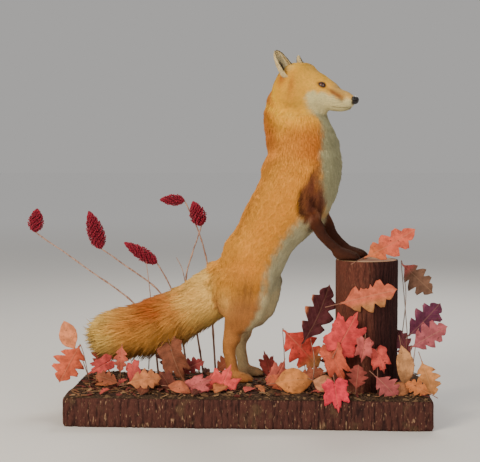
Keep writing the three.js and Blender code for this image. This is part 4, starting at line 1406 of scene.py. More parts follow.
def makeNose():
    points, faces = sphereArrays(56, 72)
    squared = np.abs(points) ** 0.86 * np.sign(points)
    p = squared / np.maximum(np.linalg.norm(squared, axis=1, keepdims=True), 1e-6)
    p = p * lerp(1, 1.05, points[:, :1] ** 2)
    p[:, 1] *= 1 - 0.22 * ease(0.1, -1, p[:, 2])
    for side in (-1, 1):
        x, y, z = p.T
        dent = np.exp(-((x * 0.25 - 0.14) ** 2 + ((y - side * 0.52) / 0.23) ** 2 + ((z + 0.05) / 0.30) ** 2))
        slot = np.exp(-(((y - side * 0.80) / 0.22) ** 2 + ((z + 0.28) / 0.13) ** 2)) * (x > -0.3)
        p = p * (1 - 0.52 * dent * (x > 0) - 0.16 * slot)[:, None]
    x, y, z = p.T
    p = p * (1 - 0.07 * np.exp(-(y / 0.07) ** 2) * ease(0.4, -0.2, z) * (x > 0))[:, None]
    p = p * np.array(noseLook["half"]) + noseLook["centre"]
    mesh = buildMesh("nose_pad", carry(headFrame, p), faces)
    material = leatherFinish("nose leather", noseLook["tone"], 0.38, 0.0010)
    addPiece("nose_pad", mesh, material, ["nose"])


whiskerPlan = {"rows": 4, "inRow": 4, "first": (0.136, 0.0118, -0.0045), "back": 0.0065, "widen": 0.0016,
               "rise": 0.0034, "longs": (0.030, 0.052), "half": 0.00017, "tint": (120, 100, 76)}


def plainFinish(name, tint, rough):
    return Finish(name).surface(baseColor=linear(*tint), roughness=rough)


def makeWhiskers(dice):
    parts = []
    x, y, z = whiskerPlan["first"]
    t = np.linspace(0, 1, 9)[:, None]
    for side in (-1, 1):
        for row in range(whiskerPlan["rows"]):
            for k in range(whiskerPlan["inRow"]):
                out = side * (y + whiskerPlan["widen"] * k)
                start = np.array([x - whiskerPlan["back"] * k, out, z + whiskerPlan["rise"] * row])
                long = dice.uniform(*whiskerPlan["longs"])
                aim = unit(np.array([-0.35 - 0.10 * k, side, 0.16 * (row - 1.7)]) + dice.normal(0, 0.07, 3))
                line = start + aim * long * t + np.array([-0.35, 0, -0.30]) * long * 0.5 * t ** 2
                parts.append(tubeArrays(carry(headFrame, line), whiskerPlan["half"] * (1.05 - t[:, 0]), 4))
    material = plainFinish("whisker", whiskerPlan["tint"], 0.5)
    addPiece("whiskers", buildMesh("whiskers", *joinArrays(parts)), material)


clawPlan = {  # fore and hind: x ahead, z, out from the middle, gap between toes
    "fore": (0.2685, 0.2765, 0.030, 0.0078),
    "hind": (0.0395, 0.0035, 0.038, 0.0076),
    "long": 0.0105,
    "half": 0.00165,
    "droop": 0.0042,
    "outerBack": 0.0075,  # how far the outer toes lie behind the middle ones
    "tint": (52, 40, 34),
}


def makeClaws():
    parts = []
    t = np.linspace(0, 1, 8)[:, None]
    for (limb, side), ahead in pawAhead.items():
        x, z, out, gap = clawPlan[limb]
        for k in (-1.5, -0.5, 0.5, 1.5):
            back = clawPlan["outerBack"] if abs(k) > 1 else 0.0
            start = np.array([x + ahead - back - 0.002, side * out + k * gap, z + 0.0012])
            line = start + np.array([1.0, 0.10 * k, 0]) * clawPlan["long"] * t
            line = line - np.array([0, 0, clawPlan["droop"]]) * t ** 2
            parts.append(tubeArrays(carry(foxFrame, line), clawPlan["half"] * (1.04 - t[:, 0] ** 1.3), 8))
    material = plainFinish("claw", clawPlan["tint"], 0.4)
    addPiece("claws", buildMesh("claws", *joinArrays(parts)), material)


# board: a slab with bark round its edge

boardPlan = {"long": 0.764, "deep": 0.290, "thick": 0.060, "relief": 0.0026, "corner": 0.010,
             "step": 0.0029 * either(1), "rows": either(24), "furrowWide": 0.0105, "rounding": 0.0030,
             "sway": 0.0018,
             "dark": (50, 31, 30), "mid": (90, 54, 47), "fleck": (176, 140, 108), "moss": (104, 82, 60)}


def slabOutline(step):  # rounded rectangle, counted round at even steps
    long, deep, r = boardPlan["long"] / 2, boardPlan["deep"] / 2, boardPlan["corner"]
    points = []
    for cx, cy, first in ((1, -1, -90), (1, 1, 0), (-1, 1, 90), (-1, -1, 180)):
        for a in np.radians(np.linspace(first, first + 90, 7)):
            points.append((cx * (long - r) + r * math.cos(a), cy * (deep - r) + r * math.sin(a)))
    points = np.array(points + points[:1])
    run = np.concatenate([[0], np.cumsum(np.linalg.norm(np.diff(points, axis=0), axis=1))])
    count = int(run[-1] / step)
    s = np.arange(count) / count * run[-1]
    ring = np.stack([np.interp(s, run, points[:, k]) for k in range(2)], 1)
    ahead = np.roll(ring, -1, axis=0) - np.roll(ring, 1, axis=0)
    out = unit(np.stack([ahead[:, 1], -ahead[:, 0]], 1))
    return ring, out, s


barkPlan = {
    "tall": 0.055,
    # stretch, size, count and share of the waves: slow and quick wander of the furrows, roughness
    "waves": [((1, 1, 1), 4.0, 5, 0.55), ((1, 2.2, 1), 1.9, 5, 0.28), ((3.1, 4, 1), 1.6, 6, 0.16)],
    "power": 1.6,
    "most": 1.2,
}


def barkRelief(s, z, seed, width, wander=1.0):  # furrows that run up and down, from 0 to the most
    place = np.stack([s / width, z / barkPlan["tall"], 0 * s], -1).reshape(-1, 3)
    slow, quick, fine = (share * waves(place * stretch, size, seed + k, count).reshape(s.shape)
                         for k, (stretch, size, count, share) in enumerate(barkPlan["waves"]))
    ridge = 1 - np.abs(np.sin((s / width + wander * (slow + quick)) * math.pi))
    return np.clip(1 - ridge ** barkPlan["power"] + fine, 0, barkPlan["most"])


def barkFinish(name, plan):
    finish = Finish(name)
    relief = finish.attribute("relief", output="Fac")
    streak = finish.noise(0.010, detail=5, stretch=(1, 1, 0.22))
    grain = finish.noise(0.0022, detail=4, stretch=(1, 1, 0.35))
    deep = plan.get("furrow", 0.5)
    dark, mid, moss, fleck = (linear(*plan[key]) for key in ("dark", "mid", "moss", "fleck"))
    # furrows darker than ridges: partly painted shade in the recesses and partly the bark's darker fissures
    tone = finish.blend(relief * deep + streak * (1.15 - deep), 0.25, 0.95, dark, mid)
    tone = finish.colourMix(finish.band(finish.noise(0.040, detail=3), 0.56, 0.70) * 0.55, tone, moss)
    flecks = finish.band(finish.noise(0.0060, detail=3, stretch=(1.8, 1.8, 0.42)), 0.61, 0.70)
    tone = finish.colourMix(flecks * plan.get("fleckAmount", 0.8), tone, fleck)
    tone = finish.blend(grain, 0.3, 0.7, tone * 0.72, tone * 1.12)
    # painted shade: beyond these x values the bark turns much darker and bluer, the stump's side away from
    # the light
    if "paintedShadeSide" in plan:
        across = finish.split(finish.place())[0]
        tone = finish.blend(across, *plan["paintedShadeSide"], tone, tone * (0.32, 0.32, 0.42))
    return finish.surface(baseColor=tone, roughness=0.9, specular=0.15,
                          normal=finish.bump(grain, 0.0012, 0.7))


def addBark(name, points, faces, relief, plan, replaced):
    mesh = buildMesh(name, points, faces)
    hubs = np.full(len(points) - relief.size, 0.2)
    paint(mesh, "relief", np.concatenate([relief.ravel(), hubs])[:, None].repeat(3, 1))
    addPiece(name, mesh, barkFinish(name.replace("_", " "), plan), [replaced])


def makeBoard():
    ring, out, s = slabOutline(boardPlan["step"])
    rows, thick = boardPlan["rows"], boardPlan["thick"]
    ss, zz = np.broadcast_arrays(s[None], np.linspace(0, thick, rows)[:, None])
    relief = barkRelief(ss, zz, 31, boardPlan["furrowWide"])
    swell = boardPlan["relief"] * (relief - 0.85)
    r = boardPlan["rounding"]
    edge = r * (np.exp(-(zz / r) ** 2) + np.exp(-((thick - zz) / r) ** 2))
    place = np.stack([ss, zz * 0, ss * 0], -1).reshape(-1, 3)
    sway = boardPlan["sway"] * waves(place, 0.11, 33).reshape(ss.shape)
    points = np.zeros((rows, len(s), 3))
    points[..., :2] = ring[None] + out[None] * (swell - edge + sway)[..., None]
    points[..., 2] = zz
    points = np.concatenate([points.reshape(-1, 3), [(0, 0, 0), (0, 0, thick)]])
    addBark("board_bark", points, closedTube(rows, len(s)), relief, boardPlan, "base_board")


# forest litter on the board

litterPlan = {"inset": 0.004, "step": 0.0040 * either(1), "lift": 0.0056, "flat": 0.0058,
              "flatAt": (-0.004, 0.036), "flatReach": 0.070, "edge": 0.012,
              "stumpRoom": 0.078, "footRoom": 0.036,
              "chips": 1500 // either(1), "needles": 380 // either(1),
              "chipSize": [(0.003, 0.010), (0.0015, 0.004), (0.0004, 0.0010)],
              "dark": (40, 29, 24), "mid": (88, 66, 50), "pale": (150, 118, 86),
              "bits": [(70, 50, 38), (104, 74, 52), (136, 96, 66), (60, 40, 34), (120, 60, 54),
                       (156, 122, 88)]}


def litterHeight(x, y):  # metres above the board
    wave = np.sin(x / 0.031) * np.cos(y / 0.023) + 0.6 * np.sin(x / 0.013 + y / 0.017)
    rough = litterPlan["lift"] + 0.0048 * x / boardPlan["long"] + 0.0009 * wave
    cx, cy = litterPlan["flatAt"]
    away = np.hypot(x - cx, y - cy) / litterPlan["flatReach"]
    return boardPlan["thick"] + lerp(litterPlan["flat"], rough, ease(0.95, 1.5, away))


def litterFinish():
    finish = Finish("forest litter")
    grain = finish.noise(0.0035, detail=6, rough=0.65)
    cells = finish.cells(0.006, output="Color")
    dark, mid, pale = (linear(*litterPlan[key]) for key in ("dark", "mid", "pale"))
    tone = finish.blend(grain, 0.35, 0.65, dark, mid)
    spots = finish.band(finish.node("SeparateColor", {}, {0: cells}), 0.80, 0.90)
    tone = finish.colourMix(spots * 0.5, tone, pale)
    return finish.surface(baseColor=tone, roughness=0.95, specular=0.15,
                          normal=finish.bump(grain, 0.003, 0.8))


def chipFinish():
    finish = Finish("litter chips")
    tint = finish.attribute("tint")
    tone = finish.colourMix(finish.noise(0.002, detail=3), tint * 0.75, tint * 1.2)
    return finish.surface(baseColor=tone, roughness=0.88, specular=0.2)


def stumpRoom(x, y):  # distance outside the stump and the feet
    free = np.hypot(x - stumpPlan["at"][0], y - stumpPlan["at"][1]) - litterPlan["stumpRoom"]
    for side in (-1, 1):
        foot = carry(foxFrame, (0.012, side * legOut, 0))
        free = np.minimum(free, np.hypot(x - foot[0], y - foot[1]) - litterPlan["footRoom"])
    return free


def makeBed(half):
    nx, ny = (int(2 * h / litterPlan["step"]) for h in half)
    x, y = np.meshgrid(np.linspace(-half[0], half[0], nx), np.linspace(-half[1], half[1], ny), indexing="ij")
    flat = np.stack([x.ravel(), y.ravel(), 0 * x.ravel()], 1)
    bump = 0.0009 * waves(flat, 0.012, 41).reshape(x.shape) + 0.0006 * waves(flat, 0.006, 42).reshape(x.shape)
    reach = litterPlan["edge"]
    fade = ease(0, reach, half[0] - np.abs(x)) * ease(0, reach, half[1] - np.abs(y))
    foot = ease(0.0, reach, stumpRoom(x, y))
    z = lerp(boardPlan["thick"] + 0.0006, litterHeight(x, y) + bump * foot, fade)
    mesh = buildMesh("litter", np.stack([x, y, z], -1).reshape(-1, 3), gridFaces(nx, ny))
    addPiece("litter_bed", mesh, litterFinish(), ["base_soil"])


def chipBox():  # corners and triangles of a box, 2 along each edge
    corners = [(x, y, z) for z in (-1, 1) for x, y in ((-1, -1), (1, -1), (1, 1), (-1, 1))]
    faces = [(0, 2, 1), (0, 3, 2), (4, 5, 6), (4, 6, 7)]
    for k in range(4):
        n = (k + 1) % 4
        faces += [(k, n, n + 4), (k, n + 4, k + 4)]
    return np.array(corners), np.array(faces)


def makeLitter(dice):
    half = np.array([boardPlan["long"], boardPlan["deep"]]) / 2 - litterPlan["inset"]
    makeBed(half)
    parts, tints = [], []
    bits = [linear(*tint) for tint in litterPlan["bits"]]
    corners, box = chipBox()
    for _ in range(litterPlan["chips"]):
        x, y = dice.uniform(-1, 1, 2) * (half - 0.006)
        if stumpRoom(x, y) < 0:
            continue
        size = np.array([dice.uniform(*reach) for reach in litterPlan["chipSize"]])
        shape = corners * size * dice.uniform(0.6, 1.0, (8, 1))
        turn = Matrix.Rotation(dice.uniform(0, 6.28), 4, "Z") @ Matrix.Rotation(dice.normal(0, 0.35), 4, "X")
        turn = turn @ Matrix.Rotation(dice.normal(0, 0.3), 4, "Y")
        z = litterHeight(x, y) + size[2] + dice.uniform(0, 0.0012)
        parts.append((carry(Matrix.Translation((x, y, z)) @ turn, shape), box))
        tints.extend([bits[dice.integers(len(bits))]] * 8)
    for _ in range(litterPlan["needles"]):
        x, y = dice.uniform(-1, 1, 2) * (half - 0.02)
        if stumpRoom(x, y) < 0.01:
            continue
        a = dice.uniform(0, 6.28)
        long = dice.uniform(0.012, 0.030)
        t = np.linspace(-0.5, 0.5, 5)
        z = litterHeight(x, y) + 0.0012 + 0.002 * np.sin(t * 5 + a)
        line = np.stack([x + t * long * math.cos(a), y + t * long * math.sin(a), z], 1)
        parts.append(tubeArrays(line, dice.uniform(0.0004, 0.0009), 5))
        tints.extend([bits[dice.integers(len(bits))]] * len(parts[-1][0]))
    chips = buildMesh("chips", *joinArrays(parts))
    paint(chips, "tint", np.array(tints))
    chips.shade_flat()
    addPiece("litter_chips", chips, chipFinish())


# stump

stumpPlan = {"at": (0.250, -0.012), "radius": 0.066, "top": 0.339, "flare": 0.013, "flareTall": 0.090,
             "columns": either(240), "rows": either(100), "rings": 26, "relief": 0.0012,
             "furrows": 46, "wander": 0.8, "rounding": (0.0012, 0.0016), "smoothTowards": math.radians(192),
             "growthWave": 2100, "cutLip": 0.0006, "cutSink": 0.0010,
             "dark": (62, 34, 29), "mid": (110, 62, 50), "fleck": (168, 126, 98), "moss": (92, 56, 46),
             # paintedShadeSide: the x range over which painted shade darkens the stump's right side
             "fleckAmount": 0.25, "paintedShadeSide": (0.240, 0.280), "furrow": 0.35,
             "sapwood": (206, 160, 118), "heartwood": (150, 100, 68)}


def cutFinish():
    finish = Finish("sawn wood")
    flat = (finish.place() - (*stumpPlan["at"], 0)) * (1, 1, 0)
    radius = finish.length(flat + (finish.noise(0.03) - 0.5) * 0.006)
    rings = finish.node("Math", {"operation": "SINE"}, {0: radius * stumpPlan["growthWave"]}) * 0.5 + 0.5
    tone = finish.blend(radius, 0.020, 0.050, linear(*stumpPlan["heartwood"]), linear(*stumpPlan["sapwood"]))
    grain = finish.noise(0.0012, detail=4)
    tone = finish.colourMix(rings * 0.5 + grain * 0.4, tone * 0.62, tone)
    return finish.surface(baseColor=tone, roughness=0.75, specular=0.25,
                          normal=finish.bump(grain, 0.0006, 0.5))


def makeStump():
    columns, rows = stumpPlan["columns"], stumpPlan["rows"]
    foot, top = boardPlan["thick"] + 0.0003, stumpPlan["top"]
    z = np.linspace(foot, top, rows)[:, None]
    angle = np.arange(columns)[None] / columns * 2 * math.pi
    low = np.clip(1 - (z - foot) / stumpPlan["flareTall"], 0, 1)
    base = stumpPlan["radius"] + 0.002 * np.sin(angle * 3 + 1)
    base = base + stumpPlan["flare"] * low ** 2 * (1 + 0.35 * np.sin(angle * 5))
    s, zz = np.broadcast_arrays(angle * stumpPlan["radius"], z)
    width = 2 * math.pi * stumpPlan["radius"] / stumpPlan["furrows"]
    relief = barkRelief(s, zz, 51, width, stumpPlan["wander"])
    rough = ease(0.75, 0.35, np.cos(angle - stumpPlan["smoothTowards"]))
    relief = lerp(0.80 + 0.1 * relief, relief, rough)
    deep, tall = stumpPlan["rounding"]
    radius = base + stumpPlan["relief"] * (relief - 0.75) - deep * np.exp(-((top - zz) / tall) ** 2)
    x = stumpPlan["at"][0] + radius * np.cos(angle)
    y = stumpPlan["at"][1] + radius * np.sin(angle)
    points = np.stack([x, y, zz], -1).reshape(-1, 3)
    faces = np.concatenate([gridTriangles(rows, columns, True), fan(len(points), 0, columns)])
    rim = points[-columns:]
    points = np.concatenate([points, [(*stumpPlan["at"], foot)]])
    addBark("stump_bark", points, faces, relief, stumpPlan, "stump")
    rings = stumpPlan["rings"]
    centre = np.array([*stumpPlan["at"], top])
    t = (np.arange(rings) / (rings - 1))[:, None, None] * 0.999 + 0.001
    disc = centre + (rim[None] - centre) * t
    uneven = waves(disc.reshape(-1, 3) * (1, 1, 0), 0.02, 55).reshape(disc.shape[:2])
    disc[..., 2] += 0.0005 * uneven * (1 - t[..., 0])
    disc[:-1, :, 2] += stumpPlan["cutLip"]
    disc[..., 2] -= stumpPlan["cutSink"]
    disc = disc.reshape(-1, 3)
    skirt = fan(len(disc), len(disc) - columns, columns, flip=True)
    cap = buildMesh("cut", np.concatenate([disc, [centre - (0, 0, 0.004)]]),
                    np.concatenate([gridTriangles(rings, columns, True)[:, [0, 2, 1]], skirt]))
    addPiece("stump_cut", cap, cutFinish())


# leaves

leafPlan = {  # middle, length and width, aim, turn, lean, shape, tint, curl, stalk's foot; mm and degrees
    1: ((-408, 62, 160), (70, 44), 118, -12, 8, "plain", (232, 156, 110), 8, (-366, 68, 66)),
    2: ((-391, -6, 108), (98, 78), -118, 8, -8, "oak", (224, 116, 84), -9, (-352, 8, 66)),
    3: ((-281, 4, 118), (60, 36), -96, 12, 6, "oak", (214, 118, 96), 6, (-285, 16, 66)),
    4: ((-217, -88, 88), (74, 50), 8, 6, 30, "oak", (206, 140, 92), 14, None),
    5: ((-160, 12, 108), (92, 66), -64, -14, 12, "maple", (134, 86, 64), 12, None),
    6: ((-101, -98, 82), (62, 46), 28, -6, 34, "maple", (198, 106, 106), 8, None),
    7: ((-50, -80, 84), (76, 68), 68, 4, 22, "maple", (242, 100, 98), -6, None),
    8: ((112, 24, 140), (116, 80), -48, 10, 10, "oak", (222, 88, 76), 12, (78, 40, 66)),
    9: ((98, -88, 90), (80, 54), 4, 4, 26, "plain", (218, 150, 84), 16, None),
    10: ((146, 26, 214), (148, 72), 62, 22, 4, "oak", (108, 62, 68), 18, (124, 46, 66)),
    11: ((298, -34, 374), (140, 72), 31, 6, 34, "oak", (228, 116, 90), -8, None),
    12: ((362, 22, 296), (94, 62), -42, -10, 8, "oak", (132, 104, 84), 10, (352, 40, 66)),
    13: ((250, -88, 268), (126, 80), 14, 0, 4, "oak", (216, 120, 90), -8, None),
    14: ((207, -96, 196), (88, 80), 62, -8, 4, "maple", (218, 80, 82), -6, None),
    15: ((186, -96, 128), (80, 54), -66, -12, 6, "maple", (206, 104, 78), 8, None),
    16: ((184, -149, 72), (62, 58), -82, 0, -2, "maple", (240, 72, 92), -5, None),
    17: ((276, -98, 136), (50, 46), -72, 6, 4, "maple", (224, 100, 90), 5, (272, -98, 66)),
    18: ((287, -116, 86), (64, 48), -46, 8, 14, "oak", (178, 98, 98), 8, None),
    19: ((372, -30, 212), (104, 62), 44, 10, 6, "oak", (112, 60, 86), 10, (338, -14, 66)),
    20: ((378, -72, 182), (90, 62), 30, 2, 4, "oak", (182, 104, 112), -8, (346, -66, 66)),
    21: ((326, -78, 122), (88, 40), -84, 14, 4, "plain", (208, 160, 108), 10, None),
    22: ((374, -88, 100), (78, 52), -70, -8, 10, "oak", (216, 158, 98), 12, None),
}
leafEdges = {
    "oak": ([0, .10, .19, .27, .34, .42, .50, .58, .66, .73, .80, .87, .94, 1],
            [.03, .10, .58, .80, .44, .90, 1.0, .46, .80, .84, .40, .50, .26, .0]),
    "plain": ([0, .08, .2, .34, .5, .66, .8, .9, 1], [.03, .30, .72, .95, 1.0, .88, .60, .34, .0]),
}
mapleStar = ([0, 7, 13, 25, 37, 46, 53, 61, 75, 90, 103, 116, 134, 152, 180],
             [1.0, .80, .82, .60, .84, .96, .80, .78, .58, .68, .72, .52, .48, .30, .10])
leafPatches = {8: ((214, 160, 100), (0.62, 0.92), 0), 10: ((214, 136, 92), (0.70, 0.92), 1),
               11: ((228, 132, 84), (0.55, 0.15), 0), 12: ((214, 120, 112), (0.36, 0.16), 0),
               13: ((204, 150, 96), (-0.10, -0.55), 1), 19: ((156, 96, 116), (0.55, 0.95), 1)}
leafTones = ("tan pink pink tan mauve mauve red red gold mauve pink mauve pink red red red pink "
             "mauve mauve mauve gold gold").split()
leafForm = {
    "small": 0.055,  # leaves shorter than this need fewer faces
    "thick": 0.0005,
    "cup": (0.05, 0.13),
    "waves": ((0.022, 0.55, 0.2), (0.008, 0.18, 0)),  # height, size, least share at the middle
    "midribDepth": 0.0012,
    "stalk": (0.0010, 0.0006),
}


def leafFlat(shape, long, wide, dice):
    # flat outline filled with a grid: x, y, and whether the grid runs right round
    if shape == "maple":
        rings, around = 7, 96
        angle = np.linspace(-180, 180, around + 1)[:-1]
        reach = np.interp(np.abs(angle), *mapleStar) * dice.uniform(0.93, 1.05, around)
        spread = np.linspace(0.02, 1, rings)[:, None] * reach
        x, y = spread * np.cos(np.radians(angle)), spread * np.sin(np.radians(angle))
        return (x - 0.36) * long / 1.12, y * wide / 1.52, True
    t = np.linspace(0, 1, 66)[:, None]
    v = np.linspace(-1, 1, 13)[None]
    teeth = 0.05 * np.abs((t * 19) % 1 - 0.5) if shape == "plain" else 0.02 * np.sin(t * 70)
    w = (np.interp(t, *leafEdges[shape]) + teeth) * np.where(v > 0, *dice.uniform(0.85, 1.1, 2))
    slide = 0.018 * math.sin(dice.uniform(0, 6))
    sweep = 0.34 if shape == "oak" else 0.05
    x = (t - 0.5 + slide * v) * long * 0.97 + sweep * np.abs(v) * w * wide / 2 * (1 - t)
    y = v * w * wide / 2
    return x, y, False


def thinned(grid, wrapped):
    rows = np.linspace(0, grid.shape[0] - 1, grid.shape[0] // 2 + 1).round().astype(int)
    return grid[rows][:, ::2 if wrapped else 3]


def leafArrays(long, wide, curl, shape, dice, stalk=None):
    x, y, wrapped = leafFlat(shape, long, wide, dice)
    if long < leafForm["small"]:
        x, y = thinned(x, wrapped), thinned(y, wrapped)
    rows, columns = x.shape
    size = rows * columns
    t = np.clip(x / long + 0.5, 0, 1)
    v = y / (wide / 2)
    off = np.abs(v)
    z = curl * (0.6 - (2 * t - 1) ** 2)
    z = z + dice.choice((-1, 1)) * wide * dice.uniform(*leafForm["cup"]) * off ** 1.6
    flat = np.stack([x, y, 0 * x], -1).reshape(-1, 3)
    seed = int(dice.integers(1000))
    for k, (high, reach, least) in enumerate(leafForm["waves"]):
        wave = (high * long * waves(flat, long * reach, seed + k)).reshape(x.shape)
        z = z + wave * np.clip(off * 1.4, least, 1)
    z = z - leafForm["midribDepth"] * np.exp(-(v / 0.06) ** 2)
    half = leafForm["thick"] / 2
    points = np.concatenate([np.stack([x, y, z + k * half], -1).reshape(-1, 3) for k in (1, -1)])
    upper = gridTriangles(rows, columns, wrapped)
    faces = [upper, upper[:, [0, 2, 1]] + size]
    inner = np.arange(columns)
    for a in (inner + size - columns, inner[::-1]) if wrapped else (gridRim(rows, columns)[::-1],):
        b = np.roll(a, -1)
        faces += [np.stack([a, b, b + size], 1), np.stack([a, b + size, a + size], 1)]
    faces = np.concatenate(faces)
    if not wrapped:
        faces = faces[:, ::-1]
    place = np.tile(np.stack([t.ravel(), v.ravel(), 0 * t.ravel()], 1), (2, 1))
    if stalk is not None:
        tube = tubeArrays(stalk, np.linspace(*leafForm["stalk"], len(stalk)), 6)
        points, faces = joinArrays([(points, faces), tube])
        place = np.concatenate([place, np.tile((0.0, 0.0, 1.0), (len(tube[0]), 1))])
    return points, faces, place


def leafMatrix(at, aim, turn, lean):
    turn, lean, aim = (math.radians(v) for v in (turn, lean, aim))
    right = np.array([math.cos(turn), math.sin(turn), 0])
    normal = np.array([math.sin(turn) * math.cos(lean), -math.cos(turn) * math.cos(lean), math.sin(lean)])
    up = np.cross(normal, right)
    tip = right * math.cos(aim) + up * math.sin(aim)
    matrix = np.eye(4)
    matrix[:3, :3] = np.stack([tip, np.cross(normal, tip), normal], 1)
    matrix[:3, 3] = at
    return Matrix(matrix.tolist())


def leafPose(at, size, aim, turn, lean, curl):
    # matrix, length, width, curl, and the foot of the blade in the leaf's own frame; metres
    long, wide = size[0] / 1000, size[1] / 1000
    foot = np.array([-long * 0.5, 0, curl / 1000 * -0.4])
    return leafMatrix(np.array(at) / 1000, aim, turn, lean), long, wide, curl / 1000, foot


def footRoute(foot, count, *steps):  # a stalk through multiples of the foot's x and z
    return smoothRoute([foot * (x, 0, z) for x, z in steps], count)


def leafFinish():
    finish = Finish("autumn leaf")
    tint = finish.attribute("tint") * (1.0, 0.85, 0.85)
    place = finish.attribute("place", output="Vector")
    along, across, stalk = finish.split(place)
    across = abs(across)
    slant = along * 9.0 - across * 2.6
    saw = abs(finish.node("Math", {"operation": "FRACT"}, {0: slant}) - 0.5) * 2
    side = finish.band(saw, 0.86, 1.0)
    middle = finish.band(across, 0.055, 0.015)
    veins = finish.node("Math", {"operation": "MAXIMUM"}, {0: side * 0.6, 1: middle})
    blotch = finish.noise(0.014, detail=4)
    fine = finish.noise(0.0028, detail=3)
    tone = finish.blend(blotch, 0.36, 0.66, tint * 0.70, tint * 1.15)
    tone = finish.colourMix(finish.band(fine, 0.55, 0.75) * 0.4, tone, tint * (0.66, 0.50, 0.46))
    spots = finish.band(finish.noise(0.0065, detail=2), 0.66, 0.72)
    tone = finish.colourMix(spots * 0.7, tone, linear(84, 50, 40))
    tone = finish.colourMix(veins * 0.55, tone, tint * 0.6 + (0.20, 0.12, 0.07))
    tone = finish.colourMix(stalk, tone, linear(150, 108, 90))
    return finish.surface(baseColor=tone, roughness=0.70, specular=0.12,
                          normal=finish.bump(veins * 0.7 + fine * 0.5, 0.0009, 0.7))


def addLeaf(name, parts, tints, slot, material, replaced=()):
    points, faces = joinArrays([(p, f) for p, f, _ in parts])
    mesh = buildMesh(name, points, faces)
    paint(mesh, "tint", tints)
    layer = mesh.attributes.new("place", "FLOAT_VECTOR", "POINT")
    layer.data.foreach_set("vector", np.concatenate([q for _, _, q in parts]).astype(np.float32).ravel())
    addPiece(name, mesh, material, replaced)


def makeLeaves():
    material = leafFinish()
    for number, (at, size, aim, turn, lean, shape, tint, curl, post) in leafPlan.items():
        dice = np.random.default_rng(100 + number)
        matrix, long, wide, curl, foot = leafPose(at, size, aim, turn, lean, curl)
        if post:
            back = matrix.inverted()
            ground = carry(back, np.array(post) / 1000)
            bend = lerp(ground, foot, 0.55) + turned(back, (0, 0, 0.010))
            stalk = smoothRoute([ground, bend, foot, foot * (0.9, 0, 1)], 14)
        else:
            stalk = footRoute(foot, 10, (1.45, 2.0), (1.2, 1.4), (1, 1), (0.9, 1))
        points, faces, place = leafArrays(long, wide, curl, shape, dice, stalk)
        tints = np.tile(linear(*tint), (len(points), 1))
        if number in leafPatches:  # a second tint towards the foot, the tip or one edge
            second, reach, column = leafPatches[number]
            tints = over(tints, linear(*second), ease(*reach, place[:, column]))
        addLeaf(f"leaf_blade_{number:02d}", [(carry(matrix, points), faces, place)], tints,
                "leaf_" + leafTones[number - 1], material, [f"leaf_{number:02d}"])
    return material


looseLeaves = [  # with no solid of their own: middle, size, aim, turn, lean, shape, tint, curl
    ((-238, 100, 216), (46, 30), 112, -10, 12, "plain", (226, 158, 120), 6),
    ((-330, 20, 96), (56, 40), -150, 10, 20, "maple", (214, 96, 92), 6),
    ((-300, -60, 84), (58, 38), 160, 4, 34, "oak", (150, 92, 66), 8),
    ((-246, -30, 92), (50, 38), -60, -20, 22, "maple", (204, 92, 88), 6),
    ((-188, 40, 120), (70, 48), 100, 20, 10, "oak", (94, 58, 52), 10),
    ((-128, 30, 96), (62, 44), 30, -16, 18, "oak", (150, 70, 70), 8),
    ((-70, -40, 80), (52, 40), 170, 6, 40, "oak", (190, 96, 92), 6),
    ((-140, -110, 76), (54, 34), -20, 4, 48, "plain", (190, 116, 84), 8),
    ((-176, -60, 84), (50, 40), 120, 10, 30, "maple", (120, 70, 58), 6),
    ((60, -60, 80), (50, 36), 130, -10, 34, "oak", (196, 110, 78), 8),
    ((64, 0, 92), (60, 42), 60, 12, 16, "maple", (206, 112, 96), 7),
    ((134, -40, 96), (58, 42), 20, -14, 20, "oak", (170, 104, 78), 8),
    ((160, -96, 84), (50, 36), -30, 10, 30, "plain", (204, 150, 110), 8),
    ((228, -112, 104), (54, 46), 84, -4, 14, "oak", (150, 78, 70), 7),
    ((240, -110, 160), (46, 40), -100, 6, 6, "maple", (204, 108, 104), 5),
    ((330, -20, 160), (70, 46), 118, -16, 10, "oak", (128, 74, 84), 10),
    ((318, -104, 78), (50, 34), 10, 6, 40, "plain", (188, 132, 88), 7),
    ((352, -112, 82), (58, 40), 158, -6, 30, "oak", (206, 132, 78), 9),
    ((300, 40, 120), (72, 50), 70, 30, 8, "oak", (120, 70, 66), 10),
    ((180, 60, 110), (66, 46), 110, -20, 12, "oak", (140, 76, 70), 9),
    ((-340, 90, 110), (64, 44), 80, 10, 10, "oak", (160, 84, 74), 9),
    ((36, 100, 92), (56, 40), 100, 10, 24, "maple", (176, 84, 78), 7),
    ((-60, 112, 88), (58, 42), 40, -8, 26, "oak", (150, 88, 64), 8),
]
groundLeaves = {"tries": either(46), "longs": (0.020, 0.044), "leans": (58, 88),
                "tints": [(150, 96, 66), (176, 84, 76), (120, 74, 56), (196, 128, 84), (104, 62, 54),
                          (200, 100, 92), (136, 84, 70)]}


